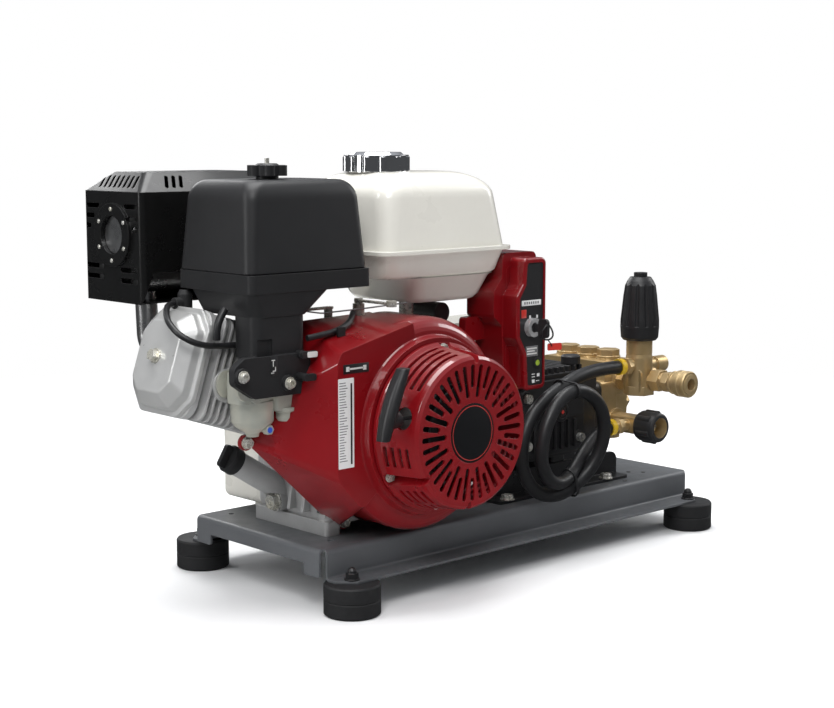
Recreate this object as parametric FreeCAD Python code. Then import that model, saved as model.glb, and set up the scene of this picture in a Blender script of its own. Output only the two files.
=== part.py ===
import FreeCAD, Part
import math
import os

# Engine-driven pressure washer: a horizontal-shaft engine and a triplex plunger pump stand side by
# side on a bent steel base plate and are joined by V-belts behind them.
# Frame: millimetres, +Z up, +X from the engine to the pump, +Y towards the belt drive.
# Origin: centre of the four feet, on the floor.

V = FreeCAD.Vector

# ---- driving dimensions ----
PLATE_X = 336.0
PLATE_Y = 125.0
PLATE_TOP = 74.0
SHEET = 3.0
BEND_R = 6.0
FLANGE_TOP = 40.0
FLANGE_Y = 157.4
END_MID_Z = 54.0
END_TAB_Z = 41.0

FOOT_X = 309.0
FOOT_Y = 145.6
FOOT_R = 33.0
FOOT_H = FLANGE_TOP - SHEET
STUD_R = 4.0

CRANK_X = -194.0
CRANK_Z = 206.0
CYL_TILT = 18.4
BORE_R = 41.0
STROKE = 64.0
SHAFT_R = 12.7
BELL_FRONT_Y = -75.0
CASE_BACK_Y = 42.0
SHAFT_END_Y = 148.0
RAIL_TOP = 99.0
RAIL_X = (-276.0, -81.0)
RAIL_BOLT_Y = (-64.0, 35.0)

SHROUD_R = 127.0
SHROUD_FRONT_Y = -152.0
SHROUD_ROUND = 20.0
MOUTH_R = 96.5
DUCT_Y = (-152.0, -66.0)
WALL = 2.5
DISC_R = 84.5
BADGE_R = 34.8
DISC_Y = -224.0
RECOIL_BOLTS = (86, 212, 267)
RECOIL_BOLT_R = 92.0
WALL_SLOTS = ((97, 143), (54, 76), (12, 29), (-29, -12), (-68, -51), (186, 201), (222, 238), (242, 257))
ROPE_R = 24.0
POCKET_WALL = 2.0

CLEANER_X = (-422.0, -246.0)
CLEANER_Y = (-110.0, 31.0)
KNOB_X = -342.5
KNOB_Y = -40.0
PLUG_X = -418.0
PLUG_Y = 18.0
TANK_X = (-224.0, -8.0)
TANK_Y = (-112.0, 75.0)
HOOD_BACK = -102.0
CARB_X = -402.0
CARB_Z = 268.0
BOWL = (-397.0, -78.0)
SEDIMENT = (-362.0, -92.0)
CAP_X = -150.0
CAP_Y = -10.0
MUFFLER_X = (-450.0, -250.0)
MUFFLER_Y = (56.0, 178.0)
MUFFLER_Z = (349.0, 500.0)
MUFFLER_SHOULDER = 478.0
OUTLET_Y = 113.0
OUTLET_Z = 427.5

PUMP_X = 71.0
PUMP_Z = 170.0
PUMP_Y = -36.0
PUMP_PITCH = 36.5
PUMP_FRONT_Y = -107.0
PUMP_BACK_Y = 38.0
PUMP_STROKE = 11.0
PUMP_SHAFT_R = 12.0
HEAD_X = (182.0, 248.0)
GALLERY_X = 223.0
GALLERY_Z = 214.0
SUCTION_X = 212.0
SUCTION_Z = 155.0
UNLOADER_Y = -130.0

BELT_Y = (98.0, 117.0)
BELT_HALF = 4.0
BELT_H = 8.0
ENGINE_PULLEY_R = 38.0
PUMP_PULLEY_R = 83.6
GUARD_Y = (78.0, 152.0)

HOSE_R = 8.75


# ---- general builders ----
def save(shape, name):
    if not shape.isValid():
        print("invalid shape:", name)
    print(f"{name}: {len(shape.Solids)} solids, {shape.Volume / 1000:.1f} cm3")
    shape.exportStep(f"parts/{name}.step")


def axis_vector(axis):
    return {"x": V(1, 0, 0), "y": V(0, 1, 0), "z": V(0, 0, 1)}[axis]


def place(axis, a, b, h):
    """A point from two in-plane coordinates and a height along the axis."""
    if axis == "x":
        return V(h, a, b)
    if axis == "y":
        return V(a, h, b)
    return V(a, b, h)


def box(x, y, z):
    return Part.makeBox(x[1] - x[0], y[1] - y[0], z[1] - z[0], V(x[0], y[0], z[0]))


def cyl(axis, a, b, r, lo, hi):
    return Part.makeCylinder(r, hi - lo, place(axis, a, b, lo), axis_vector(axis))


def cone(axis, a, b, r_lo, r_hi, lo, hi):
    return Part.makeCone(r_lo, r_hi, hi - lo, place(axis, a, b, lo), axis_vector(axis))


def ring(axis, a, b, r_out, r_in, lo, hi):
    return cyl(axis, a, b, r_out, lo, hi).cut(cyl(axis, a, b, r_in, lo - 1, hi + 1))


def outline(points, axis, height, radius=0.0):
    """A closed wire through corner points; each corner is rounded by its radius."""
    count = len(points)
    radii = radius if isinstance(radius, (list, tuple)) else [radius] * count
    edges = []
    previous_end = None
    first_start = None
    for i in range(count):
        p = V(points[i][0], points[i][1], 0)
        back = V(points[i - 1][0], points[i - 1][1], 0).sub(p)
        ahead = V(points[(i + 1) % count][0], points[(i + 1) % count][1], 0).sub(p)
        turn = math.pi - back.getAngle(ahead)
        if radii[i] > 0 and turn > 0.001:
            step = radii[i] * math.tan(turn / 2)
            back.normalize()
            ahead.normalize()
            start = p.add(back * step)
            end = p.add(ahead * step)
            middle_way = back.add(ahead)
            middle_way.normalize()
            middle = p.add(middle_way * (radii[i] / math.cos(turn / 2) - radii[i]))
        else:
            start = end = p
            middle = None
        if previous_end is not None and previous_end.distanceToPoint(start) > 1e-6:
            edges.append(("line", previous_end, start))
        if middle is not None:
            edges.append(("arc", start, middle, end))
        if first_start is None:
            first_start = start
        previous_end = end
    if previous_end.distanceToPoint(first_start) > 1e-6:
        edges.append(("line", previous_end, first_start))
    made = []
    for edge in edges:
        placed = [place(axis, q.x, q.y, height) for q in edge[1:]]
        if edge[0] == "line":
            made.append(Part.LineSegment(*placed).toShape())
        else:
            made.append(Part.Arc(*placed).toShape())
    return Part.Wire(made)


def prism(points, axis, lo, hi, radius=0.0):
    face = Part.Face(outline(points, axis, lo, radius))
    return face.extrude(axis_vector(axis) * (hi - lo))


def rect(a, b):
    return [(a[0], b[0]), (a[1], b[0]), (a[1], b[1]), (a[0], b[1])]


def slab(axis, a, b, lo, hi, radius):
    return prism(rect(a, b), axis, lo, hi, radius)


def loft(wires):
    return Part.makeLoft(wires, True, False)


def lathe(axis, a, b, profile):
    """Turns a closed (radius, height) profile about an axis line."""
    across = {"x": V(0, 1, 0), "y": V(1, 0, 0), "z": V(1, 0, 0)}[axis]
    along = axis_vector(axis)
    base = place(axis, a, b, 0)
    points = [base.add(across * r).add(along * h) for r, h in profile]
    points.append(points[0])
    face = Part.Face(Part.makePolygon(points))
    solid = face.revolve(base, along, 360)
    return solid if solid.Volume > 0 else solid.reversed()


def hexagon(axis, a, b, across_flats, lo, hi, turn=0.0):
    reach = across_flats / 2 / math.cos(math.pi / 6)
    corners = []
    for k in range(6):
        angle = math.radians(60 * k + turn)
        corners.append((a + reach * math.cos(angle), b + reach * math.sin(angle)))
    return prism(corners, axis, lo, hi)


def arc_points(a, b, r, start, end, count):
    """Points along an arc, angles in degrees."""
    step = (end - start) / (count - 1)
    angles = [math.radians(start + k * step) for k in range(count)]
    return [(a + r * math.cos(t), b + r * math.sin(t)) for t in angles]


def inset(points, depth):
    """Moves every side of a counter-clockwise outline inwards by depth."""
    moved = []
    count = len(points)
    for i in range(count):
        x0, y0 = points[i - 1]
        x1, y1 = points[i]
        x2, y2 = points[(i + 1) % count]
        d1 = math.hypot(x1 - x0, y1 - y0)
        d2 = math.hypot(x2 - x1, y2 - y1)
        n1 = (-(y1 - y0) / d1, (x1 - x0) / d1)
        n2 = (-(y2 - y1) / d2, (x2 - x1) / d2)
        scale = depth / (1 + n1[0] * n2[0] + n1[1] * n2[1])
        moved.append((x1 + (n1[0] + n2[0]) * scale, y1 + (n1[1] + n2[1]) * scale))
    return moved


def join(shapes):
    result = shapes[0].fuse(shapes[1:])
    return result.removeSplitter()


def group(shapes):
    return Part.makeCompound(shapes)


def round_edges(shape, radius, chosen):
    edges = [e for e in shape.Edges if chosen(e.BoundBox)]
    return shape.makeFillet(radius, edges)


def bolt_head(axis, a, b, across_flats, seat, height, direction, washer=1.6):
    """A hexagon head on a washer, standing on its seat in the given direction."""
    lo = min(seat, seat + direction * washer)
    hi = max(seat, seat + direction * washer)
    disc = cyl(axis, a, b, across_flats * 0.72, lo, hi)
    top = seat + direction * (washer + height)
    head = hexagon(axis, a, b, across_flats, min(seat, top), max(seat, top), 12)
    return join([disc, head])


def tilt(shape):
    """Takes a shape from the untilted cylinder frame (crank axis at 0, cylinder towards -X)."""
    shape.rotate(V(0, 0, 0), V(0, 1, 0), CYL_TILT)
    shape.translate(V(CRANK_X, 0, CRANK_Z))
    return shape


def tube_path(points, report=None):
    """Straight runs joined by tangent arcs, as one wire; prints each arc's radius."""
    runs = [points[i + 1].sub(points[i]).Length for i in range(len(points) - 1)]
    edges = []
    last = points[0]
    radii = []
    for i in range(1, len(points) - 1):
        back = points[i - 1].sub(points[i])
        ahead = points[i + 1].sub(points[i])
        turn = math.pi - back.getAngle(ahead)
        step = 0.45 * min(runs[i - 1], runs[i])
        radius = step / math.tan(turn / 2)
        back.normalize()
        ahead.normalize()
        start = points[i].add(back * step)
        end = points[i].add(ahead * step)
        bisector = back.add(ahead)
        bisector.normalize()
        middle = points[i].add(bisector * (radius / math.cos(turn / 2) - radius))
        edges.append(Part.LineSegment(last, start).toShape())
        edges.append(Part.Arc(start, middle, end).toShape())
        last = end
        radii.append(radius)
    edges.append(Part.LineSegment(last, points[-1]).toShape())
    wire = Part.Wire(edges)
    if report:
        print(f"{report}: length {wire.Length:.0f} mm, radii " + " ".join(f"{r:.0f}" for r in radii))
    return wire


def tube(points, radius, report=None):
    wire = tube_path(points, report)
    direction = points[1].sub(points[0])
    section = Part.Wire(Part.makeCircle(radius, points[0], direction))
    solid = wire.makePipeShell([section], True, True)
    if report:
        ratio = solid.Volume / (math.pi * radius * radius * wire.Length)
        print(f"{report}: volume over section times length {ratio:.4f}")
    return solid


# ---- frame ----
def mirrored_feet():
    return [(sx * FOOT_X, sy * FOOT_Y) for sx in (-1, 1) for sy in (-1, 1)]


def base_plate():
    flange_low = FLANGE_TOP - SHEET
    inner_y = PLATE_Y - SHEET
    end = PLATE_X - 7
    channel = [(-FLANGE_Y, flange_low), (-FLANGE_Y, FLANGE_TOP), (-PLATE_Y, FLANGE_TOP),
               (-PLATE_Y, PLATE_TOP), (PLATE_Y, PLATE_TOP), (PLATE_Y, FLANGE_TOP),
               (FLANGE_Y, FLANGE_TOP), (FLANGE_Y, flange_low), (inner_y, flange_low),
               (inner_y, PLATE_TOP - SHEET), (-inner_y, PLATE_TOP - SHEET), (-inner_y, flange_low)]
    inner = BEND_R - SHEET
    radii = [0, 0, inner, BEND_R, BEND_R, inner, 0, 0, BEND_R, inner, inner, BEND_R]
    plate = prism(channel, "x", -end, end, radii)
    for sx in (-1, 1):
        edge = sx * PLATE_X
        inside = sx * (PLATE_X - SHEET)
        root = sx * (PLATE_X - 20)
        lip = [(root, PLATE_TOP), (edge, PLATE_TOP), (edge, END_MID_Z), (inside, END_MID_Z),
               (inside, PLATE_TOP - SHEET), (root, PLATE_TOP - SHEET)]
        turned = prism(lip, "y", -119, 119, [0, BEND_R, 0, 0, inner, 0])
        tabs = [slab("x", (sy * 105 - 14, sy * 105 + 14), (END_TAB_Z, PLATE_TOP - 12),
                     min(edge, inside), max(edge, inside), [3, 3, 0, 0]) for sy in (-1, 1)]
        plate = plate.fuse([turned] + tabs)
    cuts = []
    for sx in (-1, 1):
        for sy in (-1, 1):
            corner = [(sx * (end + 1), sy * (FLANGE_Y + 1)), (sx * (end - 20), sy * (FLANGE_Y + 1)),
                      (sx * (end + 1), sy * (FLANGE_Y - 20))]
            cuts.append(prism(corner, "z", flange_low - 1, FLANGE_TOP + 1))
    for x, y in mirrored_feet():
        cuts.append(cyl("z", x, y, STUD_R + 0.5, flange_low - 1, FLANGE_TOP + 1))
    for x in RAIL_X:
        for y in RAIL_BOLT_Y:
            cuts.append(cyl("z", x, y, 5.5, 60, PLATE_TOP + 1))
    for x, y in bracket_bolt_places():
        cuts.append(cyl("z", x, y, 4.5, 60, PLATE_TOP + 1))
    for x, y in ((262, -77), (276, -92), (212, -112), (-10, -84), (-296, -92), (-300, 96), (296, 60)):
        cuts.append(cyl("z", x, y, 3.5, 60, PLATE_TOP + 1))
    for x in (-150, 150):
        cuts.append(slab("z", (x - 60, x + 60), (48, 74), 60, PLATE_TOP + 1, 12.9))
    return plate.cut(cuts).removeSplitter()


def rubber_feet():
    profile = [(STUD_R + 0.2, 13), (0, 13), (0, 0), (FOOT_R - 2.5, 0), (FOOT_R, 2),
               (FOOT_R, FOOT_H / 2 - 1), (FOOT_R - 1.2, FOOT_H / 2), (FOOT_R, FOOT_H / 2 + 1),
               (FOOT_R, FOOT_H - 2), (FOOT_R - 1.5, FOOT_H), (STUD_R + 0.2, FOOT_H)]
    return group([lathe("z", x, y, profile) for x, y in mirrored_feet()])


def foot_fasteners():
    made = []
    for x, y in mirrored_feet():
        stud = cyl("z", x, y, STUD_R, 14, FLANGE_TOP + 10)
        nut = bolt_head("z", x, y, 13, FLANGE_TOP, 6.5, 1)
        dome = lathe("z", x, y, [(0, 46), (6, 46), (5.4, 51), (3.2, 54), (0, 55)])
        made.append(join([stud, nut, dome]))
    return made


def engine_mount_bolts():
    made = []
    for x in RAIL_X:
        for y in RAIL_BOLT_Y:
            shank = cyl("z", x, y, 5, 61, RAIL_TOP + 2)
            head = bolt_head("z", x, y, 15, RAIL_TOP, 6, 1)
            nut = bolt_head("z", x, y, 15, PLATE_TOP - SHEET, 7, -1)
            made.append(join([shank, head, nut]))
    return made


def bracket_bolt_places():
    return [(x, y) for x in (-2, 192) for y in (-95, 30)]


def bracket_bolts():
    made = []
    for x, y in bracket_bolt_places():
        seat = PLATE_TOP + 4
        shank = cyl("z", x, y, 4, 62, seat + 2)
        head = bolt_head("z", x, y, 13, seat, 5, 1)
        nut = bolt_head("z", x, y, 13, PLATE_TOP - SHEET, 6, -1)
        made.append(join([shank, head, nut]))
    return made


def pump_bracket():
    """Two bent rails under the pump, tied by a cross plate."""
    top = 107.0
    thick = 4.0
    shapes = []
    for side, wall_y, foot_out in ((-1, -71.0, -100.0), (1, 6.0, 38.0)):
        web = prism([(-20, PLATE_TOP), (240, PLATE_TOP), (240, top), (-20, top)], "y",
                    wall_y - thick / 2, wall_y + thick / 2, [0, 0, 12, 12])
        lo = min(wall_y - thick / 2, foot_out)
        hi = max(wall_y + thick / 2, foot_out)
        foot = slab("z", (-20, 234), (lo, hi), PLATE_TOP, PLATE_TOP + thick, 4)
        shelf_out = wall_y - side * 24
        shelf = slab("z", (0, 142), (min(wall_y, shelf_out), max(wall_y, shelf_out)),
                     top - thick, top, 0)
        shapes += [web, foot, shelf]
    tie = box((150, 170), (-69, 4), (PLATE_TOP, PLATE_TOP + thick))
    bracket = join(shapes + [tie])
    holes = [cyl("z", x, y, 4.5, PLATE_TOP - 1, PLATE_TOP + thick + 1) for x, y in bracket_bolt_places()]
    holes += [cyl("z", x, y, 4.2, top - thick - 1, top + 1) for x, y in pump_foot_places()]
    return bracket.cut(holes)


def pump_foot_places():
    return [(x, y) for x in (20, 122) for y in (-59, -6)]


# ---- engine ----
def fin_stack(distances, half_y, half_z, thickness, radius):
    return [slab("x", (-half_y, half_y), (-half_z, half_z), -d, -d + thickness, radius) for d in distances]


def crankcase():
    """Main casting: chamber, sump, mounting rails, barrel with fins, oil filler neck."""
    chamber = cyl("y", CRANK_X, CRANK_Z, 92, BELL_FRONT_Y + 4, CASE_BACK_Y)
    sump = prism([(-286, RAIL_TOP - 14), (-86, RAIL_TOP - 14), (-86, 130), (-104, 240),
                  (-262, 240), (-292, 178)], "y", BELL_FRONT_Y + 4, CASE_BACK_Y, [14, 8, 20, 30, 20, 24])
    rails = []
    for x in RAIL_X:
        rail = slab("z", (x - 14, x + 9), (-78, 62), PLATE_TOP, RAIL_TOP - 8, 5)
        rails.append(rail)
        for y in RAIL_BOLT_Y:
            rails.append(cyl("z", x, y, 12, PLATE_TOP, RAIL_TOP))
    barrel = tilt(cyl("x", 0, 0, 56, -198, -40))
    fins = [tilt(s) for s in fin_stack(range(110, 199, 9), 58, 60, 3, 10)]
    ribs = [prism([(-284, RAIL_TOP), (-298, RAIL_TOP), (-288, 160), (-280, 160)], "y", y, y + 5)
            for y in (-44, -18)]
    neck = cyl("z", 0, 0, 15, -24, 62)
    neck.rotate(V(0, 0, 0), V(0, 1, 0), -58)
    neck.translate(V(-300, 15, 126))
    drain_boss = cyl("x", 10, 104, 13, -297, -270)
    body = join([chamber, sump, barrel, neck, drain_boss] + rails + fins + ribs)
    bore = tilt(cyl("x", 0, 0, BORE_R, -210, -45))
    room = cyl("y", CRANK_X, CRANK_Z, 66, BELL_FRONT_Y + 18, CASE_BACK_Y + 1)
    shaft_hole = cyl("y", CRANK_X, CRANK_Z, 17.55, BELL_FRONT_Y - 5, CASE_BACK_Y)
    neck_bore = cyl("z", 0, 0, 11, 6, 70)
    neck_bore.rotate(V(0, 0, 0), V(0, 1, 0), -58)
    neck_bore.translate(V(-300, 15, 126))
    holes = [cyl("z", x, y, 5.2, PLATE_TOP - 1, RAIL_TOP + 1) for x in RAIL_X for y in RAIL_BOLT_Y]
    holes += [cyl("z", x, y, 13, RAIL_TOP, RAIL_TOP + 40) for x in RAIL_X for y in RAIL_BOLT_Y]
    holes.append(cyl("x", 10, 104, 6, -300, -285))
    holes.append(cyl("x", 10, 104, 12.6, -318, -297))
    holes.append(cyl("z", BOWL[0], BOWL[1], 25.2, 200, 246))
    return body.cut([bore, room, shaft_hole, neck_bore] + holes)


def crankcase_cover():
    """Drive-side cover with the output bearing boss and radial ribs."""
    plate = prism([(-286, RAIL_TOP - 12), (-102, RAIL_TOP - 12), (-102, 240), (-262, 240), (-290, 178)],
                  "y", CASE_BACK_Y, CASE_BACK_Y + 12, [14, 8, 30, 20, 24])
    disc = cyl("y", CRANK_X, CRANK_Z, 92, CASE_BACK_Y, CASE_BACK_Y + 12)
    boss = cone("y", CRANK_X, CRANK_Z, 44, 36, CASE_BACK_Y + 12, CASE_BACK_Y + 24)
    shapes = [plate, disc, boss]
    for k in range(8):
        rib = box((36, 84), (CASE_BACK_Y + 12, CASE_BACK_Y + 17), (-2, 2))
        rib.rotate(V(0, 0, 0), V(0, 1, 0), 45 * k)
        rib.translate(V(CRANK_X, 0, CRANK_Z))
        shapes.append(rib)
    shaft_hole = cyl("y", CRANK_X, CRANK_Z, 17.55, CASE_BACK_Y - 1, CASE_BACK_Y + 30)
    return join(shapes).cut(shaft_hole)


def cylinder_head():
    core = slab("x", (-46, 46), (-48, 48), -262, -198, 16)
    fins = fin_stack(range(208, 262, 9), 60, 60, 3, 12)
    seat = slab("x", (-52, 52), (-62, 62), -266, -258, 20)
    intake = cyl("y", -232, -14, 19, -62, -40)
    exhaust = cyl("y", -232, 12, 20, 40, 62)
    head = join([core, seat, intake, exhaust] + fins)
    chamber = cone("x", 0, 0, 30, 36, -206, -197)
    rocker_room = slab("x", (-38, 38), (-46, 46), -267, -236, 12)
    ports = [cyl("y", -232, -14, 13, -63, -20), cyl("y", -232, 12, 14, 20, 63)]
    plug_room = cyl("z", PLUG_X, PLUG_Y, 10.5, 334, 380)
    return tilt(head.cut([chamber, rocker_room] + ports)).cut(plug_room)


def cover_outline(half_y, half_z, cut, distance, radius):
    points = [(-half_y, -half_z + cut), (-half_y + cut, -half_z), (half_y - cut, -half_z),
              (half_y, -half_z + cut), (half_y, half_z - cut), (half_y - cut, half_z),
              (-half_y + cut, half_z), (-half_y, half_z - cut)]
    return outline(points, "x", -distance, radius)


def valve_cover():
    """Pressed cover: eight-sided rim, stepped wall, domed face with one centre bolt."""
    rim = Part.Face(cover_outline(57, 62, 22, 266, 12)).extrude(V(-5, 0, 0))
    wall = loft([cover_outline(51, 56, 20, 271, 11), cover_outline(49, 54, 19, 280, 10)])
    dome = loft([cover_outline(49, 54, 19, 280, 10), cover_outline(36, 41, 15, 292, 8)])
    body = join([rim, wall, dome])
    body = round_edges(body, 3, lambda b: abs(b.XMin + 292) < 0.1 and abs(b.XMax + 292) < 0.1)
    room = loft([cover_outline(48, 53, 19, 265, 9), cover_outline(34, 39, 14, 289, 7)])
    body = body.cut([room, cyl("x", 0, 0, 4.3, -300, -260)])
    return tilt(body)


def cover_bolt():
    shank = cyl("x", 0, 0, 4, -294, -240)
    head = bolt_head("x", 0, 0, 12, -292, 6, -1, 2)
    return tilt(join([shank, head]))


def spark_plug():
    """Upright plug screwed into the top of the head, with the elbow boot over its upper end."""
    x, y = PLUG_X, PLUG_Y
    plug = join([cyl("z", x, y, 6.8, 318, 334), hexagon("z", x, y, 16, 334, 341),
                 cyl("z", x, y, 5, 341, 359)])
    elbow = cyl("x", y, 353, 6.6, x - 15, x)
    boot = join([cyl("z", x, y, 8.4, 342, 363), cone("z", x, y, 8.4, 6, 363, 368), elbow])
    return [plug, boot.cut(cyl("z", x, y, 5.2, 340, 360))]


def lead_points():
    return [V(-433.2, 18, 353), V(-446, 12, 352), V(-462, -8, 347), V(-474, -30, 338), V(-475, -50, 327),
            V(-464, -62, 318), V(-446, -63.5, 313), V(-424, -63.5, 311), V(-400, -63.5, 311),
            V(-376, -63.5, 313), V(-352, -63, 317), V(-334, -60, 322)]


def crankshaft():
    shaft = cyl("y", CRANK_X, CRANK_Z, 17.5, -64, 64)
    nose = cyl("y", CRANK_X, CRANK_Z, SHAFT_R, 60, SHAFT_END_Y)
    taper = cyl("y", CRANK_X, CRANK_Z, 11, -150, -62)
    made = [nose, taper]
    pin_z = CRANK_Z + STROKE / 2 * math.sin(math.radians(CYL_TILT))
    pin_x = CRANK_X - STROKE / 2 * math.cos(math.radians(CYL_TILT))
    made.append(cyl("y", pin_x, pin_z, 18, -16, 16))
    for lo in (-30, 16):
        web = cyl("y", CRANK_X, CRANK_Z, 56, lo, lo + 14)
        made.append(web)
    core = shaft.cut(cyl("y", CRANK_X, CRANK_Z, 60, -16, 16))
    made.append(core)
    return join(made).cut(box((CRANK_X - 3.2, CRANK_X + 3.2), (104, 160), (CRANK_Z + 9, CRANK_Z + 20)))


def piston():
    crown = lathe("x", 0, 0, [(0, -194), (BORE_R - 0.05, -194), (BORE_R - 0.05, -140),
                              (BORE_R - 5, -140), (BORE_R - 5, -184), (0, -184)])
    pin = cyl("y", -164, 0, 10, -38, 38)
    return tilt(join([crown, pin]))


def flywheel():
    """Flywheel with ring gear, cooling blades and the starter cup."""
    disc = lathe("y", CRANK_X, CRANK_Z, [(11, -128), (88, -128), (100, -116), (100, -104), (106, -104),
                                         (106, -94), (96, -94), (96, -108), (84, -118), (30, -118),
                                         (30, -90), (11, -90)])
    shapes = [disc]
    for k in range(16):
        blade = box((44, 86), (-146, -127), (-1.6, 1.6))
        blade.rotate(V(0, 0, 0), V(0, 1, 0), 22.5 * k)
        blade.translate(V(CRANK_X, 0, CRANK_Z))
        shapes.append(blade)
    cup = ring("y", CRANK_X, CRANK_Z, 32, 29, -158, -127)
    floor = ring("y", CRANK_X, CRANK_Z, 32, 11, -129, -126)
    return join(shapes + [cup, floor])


def starter_motor():
    x = -92.0
    z = 278.0
    can = cyl("y", x, z, 30, -60, 32)
    cap = cone("y", x, z, 30, 24, 32, 40)
    mount = slab("y", (x - 34, x + 34), (z - 22, z + 22), BELL_FRONT_Y + 4, -60, 10)
    solenoid = cyl("y", x + 14, z + 44, 13, -52, 14)
    strap = box((x + 4, x + 22), (-30, -14), (z + 24, z + 38))
    return join([can, cap, mount, solenoid, strap])


def duct_outlines():
    """Fan duct beside the drum: a wide back edge and a smaller front face, with matching corners."""
    hub = (CRANK_X, CRANK_Z)
    back = [hub, (-212, 334), (-318, 331), (-374, 240), (-398, 200), (-264, 77)]
    front = [hub, (-220, 328), (-328, 303), (-334, 291), (-334.5, 160), (-298, 120)]
    return back, front


def shroud():
    back, front = duct_outlines()
    back_radii = [0, 0, 14, 24, 10, 4]
    front_radii = [0, 0, 8, 8, 20, 10]
    duct = loft([outline(back, "y", DUCT_Y[1], back_radii), outline(front, "y", DUCT_Y[0], front_radii)])
    room = loft([outline(inset(back, WALL), "y", DUCT_Y[1] + 0.5, back_radii),
                 outline(inset(front, WALL), "y", DUCT_Y[0] + WALL, front_radii)])
    edge_y = SHROUD_FRONT_Y
    corner_r = SHROUD_R - SHROUD_ROUND
    corner_y = edge_y + SHROUD_ROUND
    corner = arc_points(corner_r, corner_y, SHROUD_ROUND, 0, -90, 8)
    profile = [(101, BELL_FRONT_Y), (SHROUD_R, BELL_FRONT_Y)] + corner
    profile += [(106, edge_y - 2), (104, edge_y - 11), (96, edge_y - 11)]
    drum = lathe("y", CRANK_X, CRANK_Z, profile)
    inner = arc_points(corner_r, corner_y, SHROUD_ROUND - WALL, 0, -90, 8)
    hollow = [(96, BELL_FRONT_Y + 1), (SHROUD_R - WALL, BELL_FRONT_Y + 1)] + inner + [(96, edge_y + WALL)]
    hollow_ring = lathe("y", CRANK_X, CRANK_Z, hollow)
    mouth = cyl("y", CRANK_X, CRANK_Z, MOUTH_R, SHROUD_FRONT_Y - 20, BELL_FRONT_Y)
    behind = cyl("y", CRANK_X, CRANK_Z, SHROUD_R - WALL, BELL_FRONT_Y - 1, DUCT_Y[1] + 1)
    skirt = ring("y", CRANK_X, CRANK_Z, SHROUD_R, SHROUD_R - WALL, BELL_FRONT_Y - 1, DUCT_Y[1])
    body = join([drum, duct, skirt]).cut([hollow_ring, room, mouth, behind])
    ears = [cyl("y", x, z, 9, DUCT_Y[1] - 5, DUCT_Y[1]) for x, z in shroud_ear_places()]
    whole = join([body] + ears)
    return whole


def shroud_ear_places():
    return [(-400, 200), (-258, 86), (-97, 117)]


def bolt_pocket(angle, depth):
    """Tapered recess in the cover's wall that leaves room for one flange bolt."""
    corners = [(78 + depth, -4), (83, -5), (106, -14), (106, 14), (83, 5), (78 + depth, 4)]
    narrowed = [(a, b - math.copysign(depth, b)) for a, b in corners]
    floor_y = -168 if depth else -166
    pocket = prism(narrowed, "y", DISC_Y - 6, floor_y, [2, 3, 3, 3, 3, 2])
    pocket.rotate(V(0, 0, 0), V(0, 1, 0), -angle)
    pocket.translate(V(CRANK_X, 0, CRANK_Z))
    return pocket


def arc_slot(start, stop, y):
    """A slot through the tapered wall, following it round the crank axis from one angle to another."""
    hub = V(CRANK_X, 0, CRANK_Z)
    corners = [(82, y), (106, y), (106, y + 5), (82, y + 5), (82, y)]
    section = Part.Face(Part.makePolygon([V(CRANK_X + r, along, CRANK_Z) for r, along in corners]))
    section.rotate(hub, V(0, 1, 0), -stop)
    return section.revolve(hub, V(0, 1, 0), stop - start)


def recoil_cover():
    """Starter cover: rim, tapered wall with slots round it, slotted face round a badge seat."""
    front = DISC_Y
    profile = [(90.5, -164.5), (99, -164.5), (99, -169), (95.5, -173), (89.5, front + 8), (88, front + 3),
               (DISC_R, front), (0, front), (0, front + WALL), (DISC_R - 2, front + WALL),
               (86, front + 9), (92, -171), (90.5, -168)]
    body = lathe("y", CRANK_X, CRANK_Z, profile)
    slots = []
    count = 36
    for k in range(count):
        inner = 41 if k % 2 == 0 else 52
        slot = slab("y", (inner, 79), (-3.1, 3.1), front - 1, front + WALL + 1, 3.05)
        slot.rotate(V(0, 0, 0), V(0, 1, 0), k * 360 / count)
        slot.translate(V(CRANK_X, 0, CRANK_Z))
        slots.append(slot)
    for start, stop in WALL_SLOTS:
        slots += [arc_slot(start, stop, front + 12 + 10.5 * k) for k in range(4)]
    slots.append(cyl("y", CRANK_X, CRANK_Z, BADGE_R, front - 1, front + 0.5))
    post = join([cyl("y", CRANK_X, CRANK_Z, 10, front + WALL, -170),
                 cyl("y", CRANK_X, CRANK_Z, 5, -171, -160)])
    rope_hole = cyl("x", -202, CRANK_Z + ROPE_R, 12.5, -320, -255)
    filled = lathe("y", CRANK_X, CRANK_Z, profile[:8] + [(0, -164.5)])
    pocket_walls = [bolt_pocket(angle, 0).common(filled) for angle in RECOIL_BOLTS]
    pockets = [bolt_pocket(angle, POCKET_WALL) for angle in RECOIL_BOLTS]
    cover = join([body.cut(slots)] + pocket_walls + [post])
    return cover.cut(pockets + [rope_hole])


def recoil_reel():
    groove = ROPE_R - 2.3
    profile = [(10.3, -210), (54, -210), (54, -207), (groove, -206), (groove, -198), (54, -197),
               (54, -186), (10.3, -186)]
    return lathe("y", CRANK_X, CRANK_Z, profile)


def recoil_grip():
    """Pull grip with its rope: the rope runs straight in to the reel."""
    rope_z = CRANK_Z + ROPE_R
    bar = loft([outline(rect((-319, -307), (-212, -196)), "z", 209, 5),
                outline(rect((-308, -291), (-214, -193)), "z", 250, 8),
                outline(rect((-289, -277), (-212, -196)), "z", 287, 5)])
    nose = cone("x", -202, rope_z, 11.5, 8.5, -308, -289)
    rope = cyl("x", -202, rope_z, 2.2, -296, -212)
    return [join([bar, nose]).cut(cyl("x", -202, rope_z, 2.2, -298, -280)), rope]


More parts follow.
